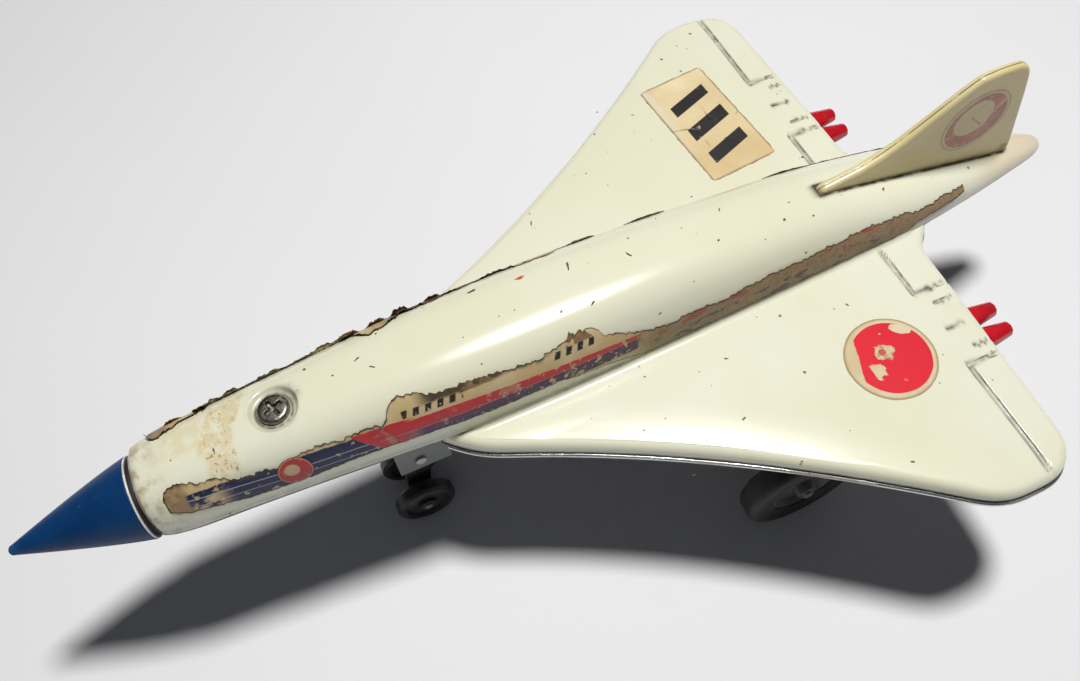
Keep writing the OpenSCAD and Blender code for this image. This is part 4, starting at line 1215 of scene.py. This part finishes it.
def buildChips():
    # each chip is a thin lens with an uneven rim, half sunk in the enamel
    points, faces, tones, first = [], [], [], 0
    rings, spokes = 4, 18
    t = np.linspace(0, 2 * np.pi, spokes, endpoint=False)
    r = np.linspace(0, 1, rings + 1)
    for k, chip in enumerate(chips + wingChips):
        onHull = len(chip) == 6
        length, width, turn = chip[2], chip[3], math.radians(chip[4])
        rim = 1 + 0.5 * ripple(90 + k, t, (2.1, 0.9), (0.5, 0.3))
        a = r[:, None] * rim * np.cos(t) * length / 2
        b = r[:, None] * rim * np.sin(t) * width / 2
        along, across = a * math.cos(turn) - b * math.sin(turn), a * math.sin(turn) + b * math.cos(turn)
        for sign in (1, -1):
            lift = sign * 0.035 * (1 - (r[:, None] + 0 * t) ** 2) + 0.005
            if onHull:
                layer = hullAt(chip[0] + along, chip[1] + across, lift, 1)
            else:
                x, y = chip[0] + across, chip[1] + along
                layer = np.stack([x, y, wingSurface(np.abs(x), y) + lift], -1)
            q = gridFaces(rings + 1, spokes, wrap=True, first=first)
            faces += [list(f) for f in (q if sign > 0 else q[:, ::-1])]
            points.append(flatten(layer))
            tones.append(np.full(layer.shape[0] * spokes, chip[5] if onHull else 0.0))
            first += layer.shape[0] * spokes
    makePiece("enamelChips", np.concatenate(points), faces, "airframe", chipFinish(),
              masks={"tone": np.concatenate(tones)})


def wingSurface(x, y):
    # height of the wing's upper face, with its camber towards the edge
    far = np.full(np.shape(x), 1e9)
    for q in inset[::4]:
        far = np.minimum(far, np.hypot(x - q[0], y - q[1]))
    share = np.clip((x - rootX(np.clip(y, hull["wingFront"], hull["wingRear"])) - wing["fillet"]) / 8, 0, 1)
    return -wing["camber"] * np.clip(1 - far / wing["camberWidth"], 0, 1) ** 2 * share + 0.015


buildChips()
print("flakes and chips")

# wing and fin stickers
roundel = {"radius": 12.0, "disc": 10.4, "thick": 0.12}
label = {"length": 41.0, "width": 22.0, "turn": 5.0, "thick": 0.12, "slant": 0.28,
         "bars": ((11.0, 2.3, 6.9), (0.6, 2.5, 7.2), (-9.8, 2.1, 6.9))}   # place, half width, half height
emblem = {"y": 118.3, "z": 21.8, "radius": 10.6, "lift": 0.05}
noseMark = {"y": -80.6, "height": 9.2, "radius": 4.3, "lift": 0.34, "thick": 0.06}


def discPoints(radius, rings=26, spokes=128, seed=3, uneven=0.06):
    r = np.linspace(0, 1, rings)
    t = np.linspace(0, 2 * np.pi, spokes, endpoint=False)
    out = radius * (1 + uneven / radius * ripple(seed, t * 3, (2.3, 0.9), (0.5, 0.4)))
    return r[:, None] * out * np.cos(t), r[:, None] * out * np.sin(t)


def stickerPiece(name, a, b, surface, thick, finish, replaces=(), wrap=True):
    # a flat pattern (a, b) in mm laid on a surface, with a closed edge; its UV is (a, b) / 100
    top, low = surface(a, b, thick), surface(a, b, -0.03)
    rows, columns = a.shape
    q = gridFaces(rows, columns, wrap=wrap)
    count = rows * columns
    faces = [list(f) for f in q] + [list(f + count) for f in q[:, ::-1]]
    if wrap:
        border = (rows - 1) * columns + np.arange(columns)
    else:
        border = gridBorder(rows, columns)
    faces += [[int(p), int(s), int(s) + count, int(p) + count] for p, s in zip(border, np.roll(border, -1))]
    uv = np.concatenate([flatten(np.stack([a, b], -1))] * 2) / 100
    makePiece(name, np.concatenate([flatten(top), flatten(low)]), faces, "airframe", finish, uv=uv,
              replaces=replaces, sharp=40)


def disc(far, noise, radius, soft=0.3):
    # an uneven round patch: 1 where the noisy distance is under the radius
    return 1 - (far + noise).rise(radius, radius + soft)


def roundelFinish():
    f = Finish("redRoundel", (0.60, 0.02, 0.03), 0.45, Specular_IOR_Level=0.25)
    a, b = f.flat()
    n1, n2, n3 = f.noise(260, 5, 0.62), f.noise(90, 4, 0.55), f.noise(700, 4, 0.6)
    far = (a * a + b * b) ** 0.5
    offset = ((a + 0.1) * (a + 0.1) + (b - 0.3) * (b - 0.3)) ** 0.5
    chord = (a * 0.32 + b * 0.95 + (n1 - 0.5) * 1.2).rise(-8.3, -8.0)
    paper = f.blend(n2.rise(0.35, 0.7), (0.58, 0.46, 0.27), (0.66, 0.57, 0.38))
    paper = f.blend(far.rise(11.1, 11.9) * 0.7, paper, (0.25, 0.16, 0.07))
    red = (1 - (offset + (n1 - 0.5) * 0.35).rise(roundel["disc"] - 0.1, roundel["disc"] + 0.1)) * chord
    # worn patches: a torn one in the middle, one at the rear edge, specks towards the tip
    rough = n1 - 0.5
    bite = disc(((a + b * 0.6 + 2.2) ** 2 * 0.35 + (b - a - 13.6) ** 2 * 0.8) ** 0.5, rough * 3.2, 1.6)
    middle = disc(((a + 2.0) ** 2 * 1.4 + (b + 0.4) ** 2 * 0.6) ** 0.5, rough * 7.0, 2.2)
    trail = disc(((a - 1.8) ** 2 * 0.6 + (b + 4.6) ** 2 * 1.3) ** 0.5, rough * 9.0, 1.5)
    fleck = n1.rise(0.655, 0.675) * n2.rise(0.45, 0.55)
    colour = f.blend((red * (1 - bite.most(middle).most(trail).most(fleck))).most(0.0), paper,
                     f.blend(n2.rise(0.4, 0.7) * 0.4, (0.68, 0.004, 0.022), (0.58, 0.006, 0.022)))
    hole = 1 - ((a + 2.4) ** 2 + (b + 1.0) ** 2).rise(0.7, 1.3)
    colour = f.blend(middle * n3.rise(0.5, 0.6) * 0.6, colour, (0.20, 0.15, 0.09))
    colour = f.blend(hole * 0.85, colour, (0.50, 0.02, 0.03))
    f.set("Base Color", colour)
    f.set("Roughness", 0.42 + n1 * 0.2 + (1 - red) * 0.1)
    f.bump(n3 * 0.5 + n1 * 0.6 + red * 0.8, 0.35, 0.00012)
    return f


def labelFinish():
    f = Finish("agedLabel", (0.62, 0.48, 0.27), 0.5)
    a, b = f.flat()
    n1, n2, n3 = f.noise(200, 5, 0.62), f.noise(45, 4, 0.6), f.noise(800, 4, 0.6)
    colour = f.blend(n2.rise(0.3, 0.7), (0.64, 0.50, 0.27), (0.76, 0.66, 0.42))
    colour = f.blend((a * 0.04 - b * 0.02 + n2 * 0.6).rise(-0.2, 0.9) * 0.35, colour, (0.55, 0.36, 0.14))
    crack = f.noise(26, 2, 0.5).inside(0.496, 0.504, 0.003) * f.noise(60, 2).rise(0.42, 0.52)
    colour = f.blend(crack * 0.75, colour, (0.16, 0.09, 0.04))
    torn = 1 - (abs(b + 9.6) + (n1 - 0.5) * 3.0).rise(0.9, 1.2) * 1.0
    colour = f.blend(torn * (a * -1).rise(-14, 18) * 0.75, colour, (0.66, 0.60, 0.50))
    edge = (abs(a).rise(19.6, 20.4)).most(abs(b).rise(10.2, 10.9))
    colour = f.blend((edge * (0.4 + n1)).least(1.0) * 0.8, colour, (0.20, 0.12, 0.05))
    spot = disc(((a - 9) ** 2 + (b - 1.5) ** 2) ** 0.5, n1 - 0.5, 0.7)
    colour = f.blend(spot * 0.85, colour, (0.30, 0.13, 0.035))
    # three plain slanted bars
    bars = None
    for centre, half, height in label["bars"]:
        across = (a + b * label["slant"] - centre).inside(-half, half, 0.12)
        bar = across * (b - 0.5 + (n3 - 0.5) * 0.3).inside(-height, height, 0.12)
        bars = bar if bars is None else bars.most(bar)
    colour = f.blend(bars * (1 - n1.rise(0.62, 0.66) * 0.7), colour, (0.014, 0.012, 0.012))
    f.set("Base Color", colour)
    f.set("Roughness", 0.42 + n1 * 0.22 - bars * 0.08)
    f.bump(n1 * 0.8 + n3 * 0.5 - crack * 1.5 + n2 * 3.0, 0.45, 0.00015)
    return f


def emblemFinish():
    # worn ring with a plain crescent inside: rubbed print on bare plastic
    f = Finish("finEmblem", (0.42, 0.10, 0.09), 0.34)
    a, b = f.flat()
    n1, n2 = f.noise(380, 5, 0.6), f.noise(110, 4, 0.6)
    far = (a * a + b * b) ** 0.5
    inner = ((a + 1.2) * (a + 1.2) + (b - 1.6) * (b - 1.6)) ** 0.5
    ring = far.rise(7.6, 7.9) * (1 - far.rise(9.3, 9.5))
    crescent = (1 - far.rise(7.9, 8.1)) * inner.rise(6.0, 6.3)
    thin = far.inside(10.0, 10.2, 0.08) * 0.5
    dash = (a * 0.7 + b * 0.7).inside(-0.35, 0.35, 0.15) * (1 - far.rise(3.4, 3.8)) * 0.8
    mark = ring.most(crescent).most(thin).most(dash) * (1 - n1.rise(0.55, 0.66) * 0.65)
    base = f.blend(n2.rise(0.3, 0.7), (0.60, 0.50, 0.255), (0.67, 0.575, 0.33))
    colour = f.blend(mark * 0.82, base, f.blend(n2.rise(0.35, 0.7), (0.36, 0.055, 0.06), (0.50, 0.16, 0.14)))
    f.set("Base Color", f.blend((far.inside(10.25, 10.6, 0.12) * 0.5), colour, (0.30, 0.22, 0.12)))
    f.set("Roughness", 0.30 + n1 * 0.16)
    f.bump(mark * 0.5 + n1 * 0.5, 0.3, 0.0001)
    return f


def noseMarkFinish():
    f = Finish("noseMark", (0.42, 0.03, 0.03), 0.4)
    a, b = f.flat()
    n1 = f.noise(500, 5, 0.6)
    far = (a * a + b * b) ** 0.5
    inner = ((a + 0.6) * (a + 0.6) + (b - 0.7) * (b - 0.7)) ** 0.5
    red = far.inside(3.0, 3.9, 0.12).most((1 - far.rise(3.0, 3.2)) * inner.rise(1.7, 1.9))
    colour = f.blend(red * (1 - n1.rise(0.56, 0.64) * 0.7), (0.50, 0.36, 0.20), (0.40, 0.03, 0.03))
    f.set("Base Color", f.blend(far.rise(3.9, 4.2), colour, (0.16, 0.06, 0.04)))
    f.set("Roughness", 0.4 + n1 * 0.2)
    f.bump(red + n1, 0.4, 0.00012)
    return f


def flatSurface(node, turn=0.0):
    # the wing's flat upper face round the middle of a sticker's node
    x, y, _ = nodeMiddle(node)
    c, s = math.cos(math.radians(turn)), math.sin(math.radians(turn))
    return lambda p, q, lift: np.stack([x + p * c - q * s, y + p * s + q * c, 0 * p + lift], -1)


a, b = discPoints(roundel["radius"])
stickerPiece("wingRoundel", a, b, flatSurface("roundel_left"), roundel["thick"], roundelFinish(),
             replaces=("roundel_left",))

p, q = np.meshgrid(np.linspace(-1, 1, 84), np.linspace(-1, 1, 46), indexing="ij")
corner = 1 - 0.024 * np.abs(p) ** 12 * np.abs(q) ** 12
a = p * label["length"] / 2 * corner + 0.12 * np.abs(p) ** 20 * ripple(5, q * 11, (6, 2), (0.8, 0.5))
b = q * label["width"] / 2 * corner + 0.12 * np.abs(q) ** 20 * ripple(6, p * 20, (6, 2), (0.8, 0.5))
stickerPiece("wingLabel", a, b, flatSurface("label_right", label["turn"]), label["thick"], labelFinish(),
             replaces=("label_right",), wrap=False)


def finSurface(side):
    left, right = finEdges()
    edgeLine = np.concatenate([left, right[::-1]])
    edgeLine = edgeLine[edgeLine[:, 1] > -1.4]

    def place(p, q, lift):
        y, z = emblem["y"] + p, emblem["z"] + q
        return np.stack([side * (finThickness(y, z, edgeLine) + lift), y, z], -1)
    return place


finEmblem = emblemFinish()
for side, name in ((1, "finPortEmblem"), (-1, "finStarboardEmblem")):
    a, b = discPoints(emblem["radius"], rings=30, spokes=120, uneven=0.02)
    stickerPiece(name, a, b, finSurface(side), emblem["lift"], finEmblem)

noseRed = noseMarkFinish()
for side, name in ((1, "portNoseMark"), (-1, "starboardNoseMark")):
    a, b = discPoints(noseMark["radius"], rings=14, spokes=72)
    stickerPiece(name, a, b, lambda p, q, lift: hullAt(noseMark["y"] + p, noseMark["height"] + q,
                                                       lift + noseMark["lift"], side),
                 noseMark["thick"], noseRed)
print("stickers")

# finishes of the plain parts


def mouldedFinish(name, colour, roughness, dust=0.3):
    f = Finish(name, colour, roughness)
    cloud, grain = f.noise(70, 5, 0.6), f.noise(1100, 3, 0.5)
    lighter = tuple(min(1.0, c * 1.35 + 0.01) for c in colour)
    base = f.blend(cloud.rise(0.35, 0.7), colour, lighter)
    dusty = f.noise(210, 5, 0.65).rise(0.5, 0.7)
    f.set("Base Color", f.blend(dusty * dust, base, (0.30, 0.28, 0.25)))
    f.set("Roughness", roughness + cloud * 0.15 + dusty * 0.15)
    f.bump(grain * 0.6 + cloud, 0.3, 0.00012)
    return f


def rubberFinish():
    f = Finish("wornRubber", (0.02, 0.02, 0.022), 0.6)
    cloud, grit = f.noise(60, 5, 0.62), f.noise(1000, 4, 0.6)
    dust = f.noise(240, 5, 0.65).rise(0.46, 0.7)
    base = f.blend(cloud.rise(0.3, 0.7), (0.016, 0.016, 0.017), (0.032, 0.031, 0.031))
    f.set("Base Color", f.blend(dust * 0.3, base, (0.14, 0.13, 0.115)))
    f.set("Roughness", 0.5 + cloud * 0.2 + dust * 0.15)
    f.bump(grit * 0.7 + cloud, 0.45, 0.00015)
    return f


darkTin = tinFinish("darkTin", (0.13, 0.13, 0.14), 0.42, dirt=0.6, metallic=0.3)
brightSteel = tinFinish("platedSteel", (0.52, 0.52, 0.51), 0.3, dirt=0.55)
brass = tinFinish("dullBrass", (0.60, 0.43, 0.17), 0.34, dirt=0.5)
darkHub = tinFinish("darkHub", (0.16, 0.16, 0.165), 0.42, dirt=0.6, metallic=0.6)
castIron = tinFinish("castWeight", (0.22, 0.22, 0.23), 0.55, dirt=0.5, metallic=0.7)
greyMoulding = mouldedFinish("greyMoulding", (0.15, 0.165, 0.155), 0.42, 0.2)
blackMoulding = mouldedFinish("blackMoulding", (0.014, 0.015, 0.017), 0.34, 0.12)
rubber = rubberFinish()

plainFinishes = {
    darkTin: ("under_plate", "belly_pan", "main_leg_left", "main_leg_right"),
    platedTin: ("motor_plate_left", "motor_plate_right", "screw_post"),
    darkHub: ("main_hub_left", "main_hub_right"),
    brightSteel: ("main_axle", "nose_axle", "nose_strut_pin", "motor_spacers",
                  "transfer_shaft", "flywheel_shaft", "belly_rivets"),
    brass: ("drive_gear", "transfer_pinion", "transfer_gear", "flywheel_pinion"),
    castIron: ("flywheel",),
    greyMoulding: ("nose_bracket",),
    blackMoulding: ("nose_strut", "nose_wheel_left", "nose_wheel_right"),
    rubber: ("main_tyre_left", "main_tyre_right"),
}
for finish, names in plainFinishes.items():
    for name in names:
        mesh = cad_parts[name].data
        mesh.materials.clear()
        mesh.materials.append(finish.material)
print("plain parts")

# floor and finish
def buildFloor():
    mesh = bpy.data.meshes.new("floor")
    mesh.from_pydata([(-6, -6, 0), (6, -6, 0), (6, 6, 0), (-6, 6, 0)], [], [(0, 1, 2, 3)])
    piece = bpy.data.objects.new("floor", mesh)
    scene.collection.objects.link(piece)
    f = Finish("paleFloor", (0.80, 0.80, 0.82), 0.75, Emission_Strength=1.0)
    # light falls off as the fourth power of the lamp's cosine; a faint glow evens out the far floor
    x, y, _ = f.axes()
    lampX, lampY, lampZ = lamps[0]["place"]
    square = lampZ ** 2
    cosine = ((x - lampX) * (x - lampX) + (y - lampY) * (y - lampY) + square) ** -1 * square
    glow = (1 - cosine * cosine) * (x * x + y * y).rise(0.16, 0.7)
    f.set("Emission Color", f.blend(glow, (0, 0, 0), roomFill["wall"][:3]))
    f.set("Base Color", f.blend(f.noise(3, 3).rise(0.3, 0.7), (0.79, 0.79, 0.815), (0.815, 0.815, 0.835)))
    mesh.materials.append(f.material)


buildFloor()
